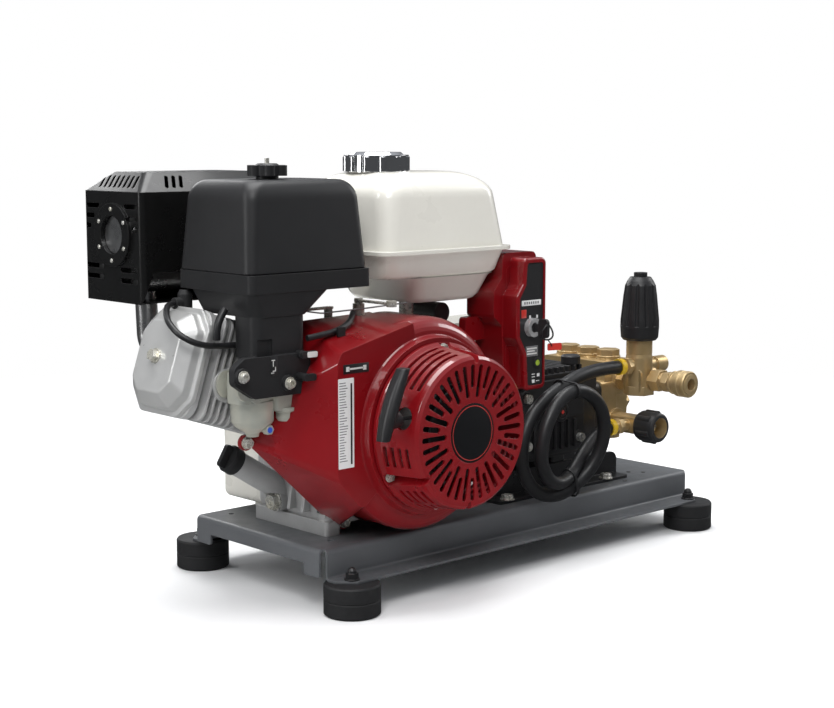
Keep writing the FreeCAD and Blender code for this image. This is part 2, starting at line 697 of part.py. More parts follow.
def carburettor():
    """Body between the head and the intake box, with flanges, bowl seat and fuel valve."""
    x = CARB_X
    z = CARB_Z
    barrel = cyl("y", x, z, 20, HOOD_BACK, -62)
    flange_back = slab("y", (x - 32, x + 32), (z - 15, z + 15), -64, -60, 12)
    flange_front = slab("y", (x - 32, x + 32), (z - 15, z + 15), HOOD_BACK, -96, 12)
    seat = cyl("z", BOWL[0], BOWL[1], 25, 241, 250)
    tower = cyl("z", BOWL[0], BOWL[1], 13, 238, 288)
    cheek = slab("z", (x - 24, x + 28), (-98, -66), 248, 282, 8)
    valve_body = slab("z", (x + 20, x + 50), (-102, -82), 238, 258, 5)
    cup = lathe("z", SEDIMENT[0], SEDIMENT[1], [(0, 224), (8, 224), (10, 228), (10, 234), (14, 236),
                                                (14, 240), (0, 240)])
    body = join([barrel, flange_back, flange_front, seat, tower, cheek, valve_body, cup])
    return body.cut(cyl("y", x, z, 12, -120, -55))


def float_bowl():
    x, y = BOWL
    bowl = lathe("z", x, y, [(0, 208), (7, 208), (8, 212), (20, 220), (24, 226), (24.5, 241), (0, 241)])
    drain = hexagon("y", x + 8, 217, 10, y - 22, y - 14)
    plug = cyl("y", x + 8, 217, 4, y - 15, y - 4)
    return join([bowl, drain, plug])


def intake_box():
    """Lower housing of the air cleaner: tray, deep left part and neck down to the carburettor."""
    x0, x1 = CLEANER_X
    y0, y1 = CLEANER_Y
    tray = slab("z", (x0 + 2, x1), (y0, y1 - 2), 370, 391, 8)
    deep = loft([outline(rect((x0 + 9, -337), (y0 + 2, y1 - 34)), "z", 344, 14),
                 outline(rect((x0 + 2.5, -306), (y0 + 0.5, y1 - 23)), "z", 372, 8)])
    neck = slab("z", (x0 + 9, -340), (y0 + 3, -62.5), 298, 346, 12)
    hood_side = [(-446, 292), (-446, 274), (-428, 262), (-418, 256), (-340, 256), (-340, 302), (-432, 302)]
    hood = prism(hood_side, "y", y0 - 2, HOOD_BACK, [8, 8, 6, 6, 4, 0, 8])
    bosses = [cyl("y", x, z, 9, y0 - 6, HOOD_BACK) for x, z in intake_bolt_places()]
    body = join([tray, deep, neck, hood] + bosses)
    hollow = slab("z", (x0 + 5, x1 - 4), (y0 + 4, y1 - 5), 374, 392, 6)
    duct = slab("z", (x0 + 14, -345), (y0 + 8, -67), 303, 376, 8)
    mouth = cyl("y", CARB_X, CARB_Z, 12, y0 + 1, HOOD_BACK + 1)
    riser = slab("z", (CARB_X - 12, CARB_X + 12), (y0 + 1, HOOD_BACK - 2), CARB_Z, 320, 2)
    pivots = [cyl("y", -354, 300, 5.05, y0 - 8, -107.2)]
    pivots.append(cyl("y", -357, 276, 4.55, y0 - 8, -112.2))
    return body.cut([hollow, duct, mouth, riser] + pivots)


def intake_bolt_places():
    return [(-437, 283), (-373, 270)]


def filter_element():
    body = slab("z", (-400, -264), (-96, 6), 374.2, 440, 22)
    room = slab("z", (-386, -278), (-82, -8), 373, 436, 14)
    return body.cut(room)


def cleaner_section(z, depth, radius):
    x = (CLEANER_X[0] + depth, CLEANER_X[1] - depth)
    y = (CLEANER_Y[0] + depth, CLEANER_Y[1] - depth)
    return outline(rect(x, y), "z", z, radius)


def air_cleaner_cover():
    """Deep cover over the filter element, drawn in slightly to the top, with a soft top edge."""
    levels = [(391.2, 2, 12), (470, 7.5, 14), (482, 9.5, 15), (489, 13, 16), (493, 20, 18)]
    sections = [cleaner_section(*level) for level in levels]
    outer = join([loft([low, high]) for low, high in zip(sections, sections[1:])])
    room = loft([cleaner_section(391, 5, 9), cleaner_section(470, 10.5, 11)])
    stud_hole = cyl("z", KNOB_X, KNOB_Y, 4, 450, 500)
    return outer.cut([room, stud_hole])


def wing_knob():
    """Six-lobed nut on a short hub, with the end of the stud standing out of its top."""
    x, y = KNOB_X, KNOB_Y
    lobes = []
    for k in range(6):
        angle = k * math.pi / 3
        lobes.append(cyl("z", x + 17.2 * math.cos(angle), y + 17.2 * math.sin(angle), 6.8, 497, 509))
    crown = cone("z", x, y, 14, 11, 509, 511)
    hub = cyl("z", x, y, 13, 493.2, 497.5)
    stud = cyl("z", x, y, 2.6, 510, 517)
    return join([hub, cyl("z", x, y, 18.5, 497, 509), crown, stud, cyl("z", x, y, 3.4, 440, 495)] + lobes)


def lever_choke():
    pivot = cyl("y", -354, 300, 5, -116, -107.3)
    arm = slab("y", (-358, -336.5), (296, 304), -120, -116, 3)
    return join([pivot, arm])


def lever_fuel():
    pivot = cyl("y", -357, 276, 4.5, -128, -112.3)
    arm = slab("y", (-363, -346), (272, 280), -130, -126.5, 3)
    return join([pivot, arm])


def lever_throttle():
    pivot = cyl("z", -232, -70, 5, 346, 352)
    arm = slab("z", (-236, -228), (-132, -64), 348, 350.5, 3.9)
    knob = cyl("z", -232, -128, 6, 346, 353)
    return join([pivot, arm, knob])


def governor_arm():
    pivot = cyl("z", -262, -50, 5, 318, 340)
    arm = slab("z", (-326, -256), (-55, -45), 340, 342.5, 4)
    return join([pivot, arm])


def control_plate():
    """Pressed bracket over the crankcase that carries the throttle and governor pivots."""
    plate = slab("z", (-292, -214), (-84, -30), 314, 317.5, 6)
    leg = box((-292, -288), (-70, -44), (288, 316))
    post = cyl("z", -232, -70, 7, 316, 345.7)
    return join([plate, leg, post]).cut(cyl("z", -262, -50, 5.3, 310, 320))


def tank_section(z, inset, radius):
    x = (TANK_X[0] + inset, TANK_X[1] - inset)
    y = (TANK_Y[0] + inset, TANK_Y[1] - inset)
    return outline(rect(x, y), "z", z, radius)


def fuel_tank():
    """Two pressed halves with a seam flange, rounded top and a stepped underside."""
    upper = loft([tank_section(407, 5, 22), tank_section(476, 14, 26)])
    shoulder = loft([tank_section(476, 14, 26), tank_section(489, 21, 28)])
    crown = loft([tank_section(489, 21, 28), tank_section(498, 44, 32)])
    seam = Part.Face(tank_section(402, -1, 20)).extrude(V(0, 0, 5))
    lower = loft([tank_section(372, 14, 22), tank_section(402, 5, 22)])
    belly = loft([outline(rect((-150, TANK_X[1] - 34), (TANK_Y[0] + 26, TANK_Y[1] - 26)), "z", 340, 24),
                  outline(rect((-168, TANK_X[1] - 15), (TANK_Y[0] + 15, TANK_Y[1] - 15)), "z", 373, 24)])
    neck = cyl("z", CAP_X, CAP_Y, 33, 488, 502)
    outlet = cyl("z", -128, -40, 9, 322, 345)
    body = join([upper, shoulder, crown, seam, lower, belly, neck, outlet])
    room = loft([tank_section(374, 17, 20), tank_section(474, 17, 24)])
    deep = slab("z", (-146, TANK_X[1] - 38), (TANK_Y[0] + 30, TANK_Y[1] - 30), 344, 376, 20)
    mouth = cyl("z", CAP_X, CAP_Y, 29, 460, 503)
    return body.cut([room, deep, mouth])


def tank_cap():
    skirt = ring("z", CAP_X, CAP_Y, 40, 33.3, 498.4, 508)
    top = cyl("z", CAP_X, CAP_Y, 40, 508, 519)
    lobes = []
    for k in range(12):
        angle = math.radians(30 * k)
        lobes.append(cyl("z", CAP_X + 37 * math.cos(angle), CAP_Y + 37 * math.sin(angle), 5, 499, 517))
    dome = cone("z", CAP_X, CAP_Y, 34, 30, 519, 522.5)
    return join([skirt, top, dome] + lobes).cut(cyl("z", CAP_X, CAP_Y, 33.3, 490, 508))


def muffler():
    can = slab("x", (MUFFLER_Y[0] + 12, MUFFLER_Y[1] - 12), (MUFFLER_Z[0] + 12, MUFFLER_SHOULDER - 6),
               MUFFLER_X[0] + 12, MUFFLER_X[1] - 12, 20)
    outlet = cyl("x", OUTLET_Y, OUTLET_Z, 22, MUFFLER_X[0] + 1.5, MUFFLER_X[0] + 14)
    port_x = CRANK_X - 216.3
    port_z = CRANK_Z + 84.6
    pipe = tube([V(port_x, 62.2, port_z), V(port_x, 106, port_z), V(port_x, 110, 366)], 13)
    flange = tilt(slab("y", (-262, -202), (-8, 32), 62.2, 68, 14))
    return join([can, outlet, pipe, flange])


def guard_section(z, depth, radius):
    x = (MUFFLER_X[0] + depth, MUFFLER_X[1] - depth)
    y = (MUFFLER_Y[0] + depth, MUFFLER_Y[1] - depth)
    return outline(rect(x, y), "z", z, radius)


def guard_slots():
    """Slots in the outer wall as (y from, y to, z), clear of the raised outlet seat."""
    return [(143, 171, 461), (154, 173, 449), (162, 174, 437), (136, 174, 390), (137, 174, 377.5),
            (64, 91, 461), (64, 83, 447), (64, 76, 434.5), (65, 101, 387.5), (65, 101, 375)]


def bevel_slots(face):
    """Slanted slots through the shoulder above the outer wall and beside its front corner."""
    across, rise = 24, MUFFLER_Z[1] - MUFFLER_SHOULDER
    lean = math.degrees(math.atan2(across, rise))
    mid_z = MUFFLER_SHOULDER + rise / 2
    made = []
    for k in range(8):
        slot = slab("x", (-2.3, 2.3), (-11, 11), -5, 5, 2.2)
        slot.rotate(V(0, 0, 0), V(1, 0, 0), -24)
        slot.rotate(V(0, 0, 0), V(0, 1, 0), lean)
        slot.translate(V(face + across / 2, MUFFLER_Y[0] + 27 + 10 * k, mid_z))
        made.append(slot)
    for k in range(3):
        slot = slab("y", (-2.3, 2.3), (-11, 11), -5, 5, 2.2)
        slot.rotate(V(0, 0, 0), V(0, 1, 0), 24)
        slot.rotate(V(0, 0, 0), V(1, 0, 0), -lean)
        slot.translate(V(face + 44 + 10 * k, MUFFLER_Y[0] + across / 2, mid_z))
        made.append(slot)
    return made


def muffler_guard():
    """Heat guard: vertical walls, bevelled shoulder with slanted slots, round outlet seat."""
    y0 = MUFFLER_Y[0]
    z0, z1 = MUFFLER_Z
    walls = loft([guard_section(z0, 0, 7), guard_section(MUFFLER_SHOULDER, 0, 7)])
    bevel = loft([guard_section(MUFFLER_SHOULDER, 0, 7), guard_section(z1, 24, 10)])
    room = join([loft([guard_section(z0 + 2, 2, 5), guard_section(MUFFLER_SHOULDER - 1, 2, 5)]),
                 loft([guard_section(MUFFLER_SHOULDER - 1, 2, 5), guard_section(z1 - 2, 25.5, 9)])])
    body = join([walls, bevel]).cut(room)
    face = MUFFLER_X[0]
    raised = cyl("x", OUTLET_Y, OUTLET_Z, 37, face - 4, face + 1)
    cuts = [cyl("x", OUTLET_Y, OUTLET_Z, 22.5, face - 5, face + 5)]
    front_edge = [(face + 16, 386), (MUFFLER_X[1] + 1, 386), (MUFFLER_X[1] + 1, z0 - 1), (face, z0 - 1)]
    cuts.append(prism(front_edge, "y", y0 - 1, y0 + 9))
    for lo, hi, z in guard_slots():
        cuts.append(slab("x", (lo, hi), (z - 2.8, z + 2.8), face - 5, face + 5, 2.7))
    for x, y in ((face + 40, y0 + 60), (face + 40, y0 + 44), (face + 84, y0 + 36)):
        cuts.append(cyl("z", x, y, 3.2, z1 - 5, z1 + 1))
    return join([body, raised]).cut(cuts + bevel_slots(face))


def control_box():
    """Red switch housing: shaped bezel in front, larger housing behind it."""
    front = [(-9, 224), (29, 224), (29, 391), (-11, 391), (-13, 359), (-24, 344), (-24, 291), (-12, 270)]
    bezel = prism(front, "y", -131, -106, [6, 8, 8, 6, 8, 6, 8, 8])
    bezel = round_edges(bezel, 3, lambda b: abs(b.YMin + 131) < 0.1 and abs(b.YMax + 131) < 0.1)
    back = [(-20, 214), (36, 214), (36, 397), (-24, 397), (-26, 366), (-40, 350), (-40, 318), (-26, 306)]
    housing = prism(back, "y", -106, -58, [6, 8, 8, 6, 8, 6, 6, 8])
    arm = slab("y", (-57.9, -20), (286, 316), -74, -62, 5)
    well = prism([(-4, 230), (24, 230), (24, 385), (-6, 385), (-8, 357), (-19, 341), (-19, 293), (-7, 272)],
                 "y", -132, -128.5, 4)
    body = join([bezel, housing, arm])
    room = slab("y", (-18, 26), (232, 380), -124, -57, 6)
    lock_hole = cyl("y", 2, 304, 6.05, -132, -123)
    pump_room = box((-1, 45), (-106.5, -50), (205, 244))
    return body.cut([well, room, lock_hole, pump_room])


def control_panel():
    plate = prism([(-3.7, 230.3), (23.7, 230.3), (23.7, 384.7), (-5.7, 384.7), (-7.7, 357), (-18.7, 341),
                   (-18.7, 293), (-6.7, 272)], "y", -130, -128.5, 4)
    barrel = ring("y", 2, 304, 12, 6.3, -137, -129)
    return join([plate, barrel]).cut(cyl("y", 2, 304, 6.3, -140, -120))


def ignition_key():
    lock = cyl("y", 2, 304, 6, -136, -126)
    blade = box((0.5, 3.5), (-146, -135), (299, 309))
    bow = slab("x", (-160, -144), (292, 316), 0, 4, 5)
    return join([lock, blade, bow])


def dipstick_cap():
    cap = lathe("z", 0, 0, [(0, -14), (10.6, -14), (10.6, 0), (17, 0), (17, 10), (15, 13), (0, 13)])
    cap = join([cap, slab("y", (-14, 14), (10, 22), -3, 3, 4)])
    cap.rotate(V(0, 0, 0), V(0, 1, 0), -58)
    turn = math.radians(58)
    cap.translate(V(-300 - 62.4 * math.sin(turn), 15, 126 + 62.4 * math.cos(turn)))
    return cap


def engine_fasteners():
    made = [cover_bolt()]
    for x, z in shroud_ear_places():
        made.append(bolt_head("y", x, z, 10, DUCT_Y[1] - 5, 5, -1))
    for angle in RECOIL_BOLTS:
        x = CRANK_X + RECOIL_BOLT_R * math.cos(math.radians(angle))
        z = CRANK_Z + RECOIL_BOLT_R * math.sin(math.radians(angle))
        made.append(bolt_head("y", x, z, 8, -168, 4, -1, 1))
    drain = join([bolt_head("x", 10, 104, 17, -297, 7, -1, 2), cyl("x", 10, 104, 5.9, -300, -286)])
    made.append(drain)
    return made


# ---- belt drive ----
def pulley(x, z, radius, bore):
    """Two-groove V pulley; radius is the outside of the belt."""
    lo = BELT_Y[0] - 12
    hi = BELT_Y[1] + 12
    profile = [(bore, lo), (radius + 2, lo)]
    for y in BELT_Y:
        profile += [(radius + 2, y - 8), (radius - 9, y - 4), (radius - 9, y + 4), (radius + 2, y + 8)]
    profile += [(radius + 2, hi), (bore, hi)]
    return lathe("y", x, z, profile)


def engine_pulley():
    return pulley(CRANK_X, CRANK_Z, ENGINE_PULLEY_R, SHAFT_R + 0.02)


def pump_pulley():
    body = pulley(PUMP_X, PUMP_Z, PUMP_PULLEY_R, PUMP_SHAFT_R + 0.02)
    holes = []
    for k in range(5):
        angle = math.radians(72 * k)
        holes.append(cyl("y", PUMP_X + 45 * math.cos(angle), PUMP_Z + 45 * math.sin(angle), 14, 80, 135))
    return body.cut(holes)


def belt_loop(y, inset, half_width):
    """One belt turned round both pulleys: straight sides tangent to both circles."""
    r1 = ENGINE_PULLEY_R - inset
    r2 = PUMP_PULLEY_R - inset
    dx = PUMP_X - CRANK_X
    dz = PUMP_Z - CRANK_Z
    span = math.hypot(dx, dz)
    along = math.atan2(dz, dx)
    lean = math.asin((r2 - r1) / span)
    top = along + math.pi / 2 + lean
    low = along - math.pi / 2 - lean

    def on(x, z, r, angle):
        return V(x + r * math.cos(angle), y - half_width, z + r * math.sin(angle))
    a = on(CRANK_X, CRANK_Z, r1, top)
    b = on(CRANK_X, CRANK_Z, r1, along + math.pi)
    c = on(CRANK_X, CRANK_Z, r1, low)
    d = on(PUMP_X, PUMP_Z, r2, low)
    e = on(PUMP_X, PUMP_Z, r2, along)
    f = on(PUMP_X, PUMP_Z, r2, top)
    edges = [Part.Arc(a, b, c).toShape(), Part.LineSegment(c, d).toShape(),
             Part.Arc(d, e, f).toShape(), Part.LineSegment(f, a).toShape()]
    return Part.Face(Part.Wire(edges)).extrude(V(0, 2 * half_width, 0))


def drive_belts():
    made = []
    for y in BELT_Y:
        outer = belt_loop(y, 0, BELT_HALF)
        inner = belt_loop(y, BELT_H, BELT_HALF + 1)
        made.append(outer.cut(inner))
    return group(made)


def belt_guard():
    """Closed box round both pulleys, hung on two feet; shaft slots in the inner wall."""
    box_x = (-268.0, 176.0)
    box_z = (82.0, 286.0)
    outer = slab("y", box_x, box_z, GUARD_Y[0], GUARD_Y[1], 12)
    room = slab("y", (box_x[0] + 2, box_x[1] - 2), (box_z[0] + 2, box_z[1] - 2),
                GUARD_Y[0] + 2, GUARD_Y[1] - 2, 10)
    cuts = [room, cyl("y", CRANK_X, CRANK_Z, 24, GUARD_Y[0] - 1, GUARD_Y[0] + 3),
            cyl("y", PUMP_X, PUMP_Z, 24, GUARD_Y[0] - 1, GUARD_Y[0] + 3)]
    for k in range(12):
        x = -150 + 14 * k
        cuts.append(slab("y", (x - 3, x + 3), (150, 220), GUARD_Y[1] - 3, GUARD_Y[1] + 1, 2.9))
    feet = [slab("z", (x - 16, x + 16), (GUARD_Y[0], 118), PLATE_TOP, PLATE_TOP + 3, 0) for x in (-230, 150)]
    legs = [box((x - 16, x + 16), (GUARD_Y[0], GUARD_Y[0] + 3), (PLATE_TOP, 92)) for x in (-230, 150)]
    return join([outer.cut(cuts)] + feet + legs)


# ---- pump ----
def cylinder_places():
    return [PUMP_Y + k * PUMP_PITCH for k in (-1, 0, 1)]


def pump_crankcase():
    body = prism([(4, 122), (150, 122), (166, 140), (170, 226), (140, 232), (24, 232), (2, 212)], "y",
                 PUMP_FRONT_Y + 12, PUMP_BACK_Y - 12, [16, 14, 14, 10, 10, 22, 18])
    shapes = [body]
    for k in range(11):
        x = 30 + 11 * k
        shapes.append(slab("y", (x, x + 4), (210, 240), PUMP_FRONT_Y + 16, PUMP_BACK_Y - 16, 1.5))
    for x, y in pump_foot_places():
        shapes.append(slab("z", (x - 13, x + 13), (y - 12, y + 12), 107, 126, 4))
    shapes.append(slab("x", (PUMP_Y - 58, PUMP_Y + 58), (136, 212), 160, HEAD_X[0], 12))
    room = slab("y", (14, 128), (130, 214), PUMP_FRONT_Y + 11, PUMP_BACK_Y - 11, 12)
    cuts = [room]
    for y in cylinder_places():
        cuts.append(cyl("x", y, PUMP_Z, 12.1, 120, HEAD_X[0] + 1))
    for x, y in pump_foot_places():
        cuts.append(cyl("z", x, y, 4.2, 106, 122))
    cuts.append(cyl("z", 136, -78, 7.4, 216, 245))
    return join(shapes).cut(cuts)


def pump_side_covers():
    """Bearing covers on both ends; the front one has ribs and the oil window seat."""
    made = []
    outline_points = [(8, 128), (130, 128), (136, 150), (136, 206), (118, 226), (26, 226), (6, 206)]
    front = prism(outline_points, "y", PUMP_FRONT_Y + 4, PUMP_FRONT_Y + 12, [14, 12, 10, 12, 18, 18, 14])
    shapes = [front]
    for k in range(8):
        x = 22 + 13 * k
        shapes.append(slab("y", (x, x + 4), (134, 172), PUMP_FRONT_Y, PUMP_FRONT_Y + 6, 1.5))
    shapes.append(cyl("y", PUMP_X, 186, 17, PUMP_FRONT_Y - 1, PUMP_FRONT_Y + 6))
    shapes.append(slab("y", (96, 130), (176, 206), PUMP_FRONT_Y, PUMP_FRONT_Y + 6, 4))
    for x, z in ((20, 146), (122, 146), (20, 208), (122, 208)):
        shapes.append(cyl("y", x, z, 9, PUMP_FRONT_Y, PUMP_FRONT_Y + 6))
    made.append(join(shapes).cut(cyl("y", PUMP_X, 186, 11, PUMP_FRONT_Y - 3, PUMP_FRONT_Y + 3)))
    back = prism(outline_points, "y", PUMP_BACK_Y - 12, PUMP_BACK_Y - 4, [14, 12, 10, 12, 18, 18, 14])
    hub = cyl("y", PUMP_X, PUMP_Z, 30, PUMP_BACK_Y - 4, PUMP_BACK_Y + 4)
    made.append(join([back, hub]).cut(cyl("y", PUMP_X, PUMP_Z, PUMP_SHAFT_R + 0.05, 0, 60)))
    return made


def pump_fasteners():
    made = []
    for x, z in ((20, 146), (122, 146), (20, 208), (122, 208)):
        made.append(cyl("y", x, z, 6, PUMP_FRONT_Y - 6, PUMP_FRONT_Y))
    for x, y in pump_foot_places():
        made.append(join([bolt_head("z", x, y, 13, 103, 5, -1), cyl("z", x, y, 4, 95, 118)]))
    window = cyl("y", PUMP_X, 186, 11, PUMP_FRONT_Y - 3, PUMP_FRONT_Y + 3)
    return made + [window]


def pump_oil_cap():
    profile = [(0, 222), (7.2, 222), (7.2, 240.3), (13, 240.3), (13, 250), (11, 252), (0, 252)]
    return lathe("z", 136, -78, profile)


def pump_crankshaft():
    shapes = [cyl("y", PUMP_X, PUMP_Z, PUMP_SHAFT_R, 24, 138), cyl("y", PUMP_X, PUMP_Z, 12, -92, -70)]
    for k, y in enumerate(cylinder_places()):
        angle = math.radians(120 * k)
        x = PUMP_X + PUMP_STROKE / 2 * math.cos(angle)
        z = PUMP_Z + PUMP_STROKE / 2 * math.sin(angle)
        shapes.append(cyl("y", x, z, 20, y - 10, y + 10))
    shapes.append(cyl("y", PUMP_X, PUMP_Z, 14, -82, 26))
    return join(shapes)


def plunger(y):
    guide = cyl("x", y, PUMP_Z, 12, 132, 162)
    rod = cyl("x", y, PUMP_Z, 8, 162, 196)
    return join([guide, rod])


def pump_head():
    """Brass manifold: three valve towers, discharge and suction galleries along Y."""
    y_lo = PUMP_Y - 58
    y_hi = PUMP_Y + 58
    upper = slab("x", (y_lo + 2, y_hi - 2), (190, 238), HEAD_X[0] + 8, HEAD_X[1], 5)
    mid = slab("x", (y_lo, y_hi), (134, 212), HEAD_X[0], 214, 6)
    front = slab("x", (y_lo + 4, y_hi - 4), (160, 196), 210, HEAD_X[1] - 8, 6)
    shapes = [upper, mid, front]
    for y in cylinder_places():
        shapes.append(cyl("z", 220, y, 17, 130, 240))
    shapes.append(cyl("y", GALLERY_X, GALLERY_Z, 17, y_lo - 3, y_hi + 3))
    shapes.append(cyl("y", SUCTION_X, SUCTION_Z, 18, y_lo - 3, y_hi + 3))
    cuts = []
    for y in cylinder_places():
        cuts.append(cyl("x", y, PUMP_Z, 9, HEAD_X[0] - 1, 205))
    return join(shapes).cut(cuts)


def valve_caps():
    made = []
    for y in cylinder_places():
        top = join([cyl("z", 220, y, 16.5, 240, 243), hexagon("z", 220, y, 27, 243, 252)])
        made.append(top)
        side = join([cyl("x", y, 178, 14, 240, 243), hexagon("x", y, 178, 24, 243, 251)])
        made.append(side)
    return group(made)


def gallery_end():
    return PUMP_Y - 61


def unloader_body():
    """Bypass valve: bar from the head's discharge gallery, upright body, side stubs."""
    y = UNLOADER_Y
    x = GALLERY_X - 7
    bar = cyl("y", GALLERY_X, GALLERY_Z, 13, -150, gallery_end())
    collar = hexagon("y", GALLERY_X, GALLERY_Z, 30, -108, gallery_end())
    lower = join([cyl("z", x, y, 18, 208, 246), hexagon("z", x, y, 36, 196, 208)])
    neck = cone("z", x, y, 18, 17, 246, 252)
    upper = cyl("z", x, y, 17.5, 252, 270)
    hub = slab("x", (y - 15, y + 15), (200, 232), x - 14, x + 20, 6)
    stub = join([cyl("x", y, 234, 9, x, 256), cyl("x", y, 234, 11, 246, 266)])
    barb = join([cyl("x", y, 237, 8, 186, x), hexagon("x", y, 237, 20, 186, 194)])
    return join([bar, collar, lower, neck, upper, hub, stub, barb])


def unloader_knob():
    x = GALLERY_X - 7
    y = UNLOADER_Y
    profile = [(0, 270.4), (22, 270.4), (25, 274), (26, 288), (25.8, 298), (22.5, 330), (20.5, 344),
               (17.5, 350), (14, 355), (9, 355), (9, 361), (0, 361)]
    body = lathe("z", x, y, profile)
    flutes = []
    for k in range(12):
        angle = math.radians(30 * k)
        flute = cyl("z", 0, 0, 3, 0, 90)
        flute.rotate(V(0, 0, 0), V(0, 1, 0), -5.5)
        flute.translate(V(27.6, 0, 290))
        flute.rotate(V(0, 0, 0), V(0, 0, 1), math.degrees(angle))
        flute.translate(V(x, y, 0))
        flutes.append(flute)
    return body.cut(flutes)


def outlet_coupler():
    """Hexagon nipples and the quick-coupler socket at the outlet."""
    x = GALLERY_X
    z = GALLERY_Z + 3
    first = join([cyl("y", x, z, 11, -168, -150), hexagon("y", x, z, 27, -166, -151)])
    second = join([cyl("y", x, z, 10, -186, -166), hexagon("y", x, z, 25, -181, -172)])
    socket = lathe("y", x, z, [(0, -184), (15, -184), (15.5, -185), (13.5, -186), (13.5, -212), (8, -213),
                               (8, -196), (0, -196)])
    return join([first, second, socket])


def coupler_sleeve():
    return lathe("y", GALLERY_X, GALLERY_Z + 3, [(13.8, -192.6), (17, -192.6), (17.5, -194), (17.5, -200),
                                                  (16.5, -201), (16.5, -204), (17.5, -205), (17.5, -210),
                                                  (16.5, -211.4), (13.8, -211.4)])


def inlet_fitting():
    """Square brass elbow block on the suction gallery, with the thread for the supply nut."""
    bar = slab("y", (SUCTION_X - 12, SUCTION_X + 12), (SUCTION_Z - 12, SUCTION_Z + 12), -136,
               gallery_end(), 4)
    barb = join([cyl("x", -122, SUCTION_Z, 8, 172, 205), hexagon("x", -122, SUCTION_Z, 19, 180, 188)])
    stem = cyl("y", SUCTION_X, SUCTION_Z, 12, -150, -134)
    return join([bar, barb, stem]).cut(cyl("y", SUCTION_X, SUCTION_Z, 8, -151, -110))


def garden_nut():
    profile = [(12.3, -140), (19, -140), (20.5, -143), (20.5, -164), (19.5, -170), (17.5, -172),
               (13.6, -172), (13.6, -151), (12.3, -151)]
    body = lathe("y", SUCTION_X, SUCTION_Z, profile)
    lobes = []
    for k in range(6):
        angle = math.radians(60 * k + 20)
        lobes.append(cyl("y", SUCTION_X + 18 * math.cos(angle), SUCTION_Z + 18 * math.sin(angle), 4.4,
                         -166, -146))
    return join([body] + lobes).cut(cyl("y", SUCTION_X, SUCTION_Z, 13.6, -175, -151))


# ---- bypass hose ----
UPPER_BARB = V(172, UNLOADER_Y, 237)
LOWER_BARB = V(164, -122, SUCTION_Z)


def hose_points():
    return [UPPER_BARB, V(144, -130.5, 238), V(108, -132, 236), V(76, -134, 230.5), V(48, -136, 220.5),
            V(20, -138, 210), V(-6, -139, 192), V(-21, -139, 166), V(-24, -139, 136), V(-12, -139, 108),
            V(12, -139, 89), V(42, -140, 83), V(70, -143, 91), V(94, -149, 109), V(109, -155, 135),
            V(114, -159, 164), V(106, -160, 193), V(84, -160, 214), V(54, -160, 223), V(26, -160, 214),
            V(5, -160, 193), V(-7, -160, 166), V(-10, -160, 138), V(4, -159, 113), V(29, -155, 102),
            V(58, -147, 106), V(84, -138, 120), V(110, -130, 136), V(138, -124, 149), LOWER_BARB]


def bypass_hose():
    return tube(hose_points(), HOSE_R, "bypass_hose")


def hose_rings():
    """Yellow ferrules that hold the hose on both barbs."""
    return [cyl("x", end.y, end.z, 10.8, end.x, end.x + 8) for end in (UPPER_BARB, LOWER_BARB)]


# Castings and covers that are relieved where the named neighbours bolt on or pass through.
FITTED = [
    ("cylinder_head", ["float_bowl", "plug_lead"]),
    ("carburettor", ["cylinder_head", "float_bowl", "crankcase"]),
    ("intake_box", ["plug_lead"]),
    ("shroud", ["carburettor", "float_bowl", "crankcase", "engine_fasteners", "intake_box",
                "starter_motor", "frame_fasteners"]),
    ("spark_plug", ["valve_cover", "cylinder_head", "plug_lead"]),
    ("muffler_guard", ["muffler", "spark_plug"]),
    ("pump_head", ["valve_caps"]),
    ("control_box", ["fuel_tank"]),
    ("control_plate", ["crankcase", "shroud", "cylinder_head"]),
    ("crankcase_cover", ["crankcase", "frame_fasteners"]),
    ("starter_motor", ["crankcase"]),
    ("hose_rings", ["bypass_hose"]),
]


def relieved(shape, neighbours):
    """Cuts the neighbours out of a shape and drops the crumbs."""
    touching = [solid for n in neighbours for solid in n.Solids if solid.BoundBox.intersect(shape.BoundBox)]
    cut = shape.cut(touching)
    crumb = shape.Volume / len(shape.Solids) / 200
    kept = [solid for solid in cut.Solids if solid.Volume > crumb]
    return kept[0] if len(kept) == 1 else group(kept)


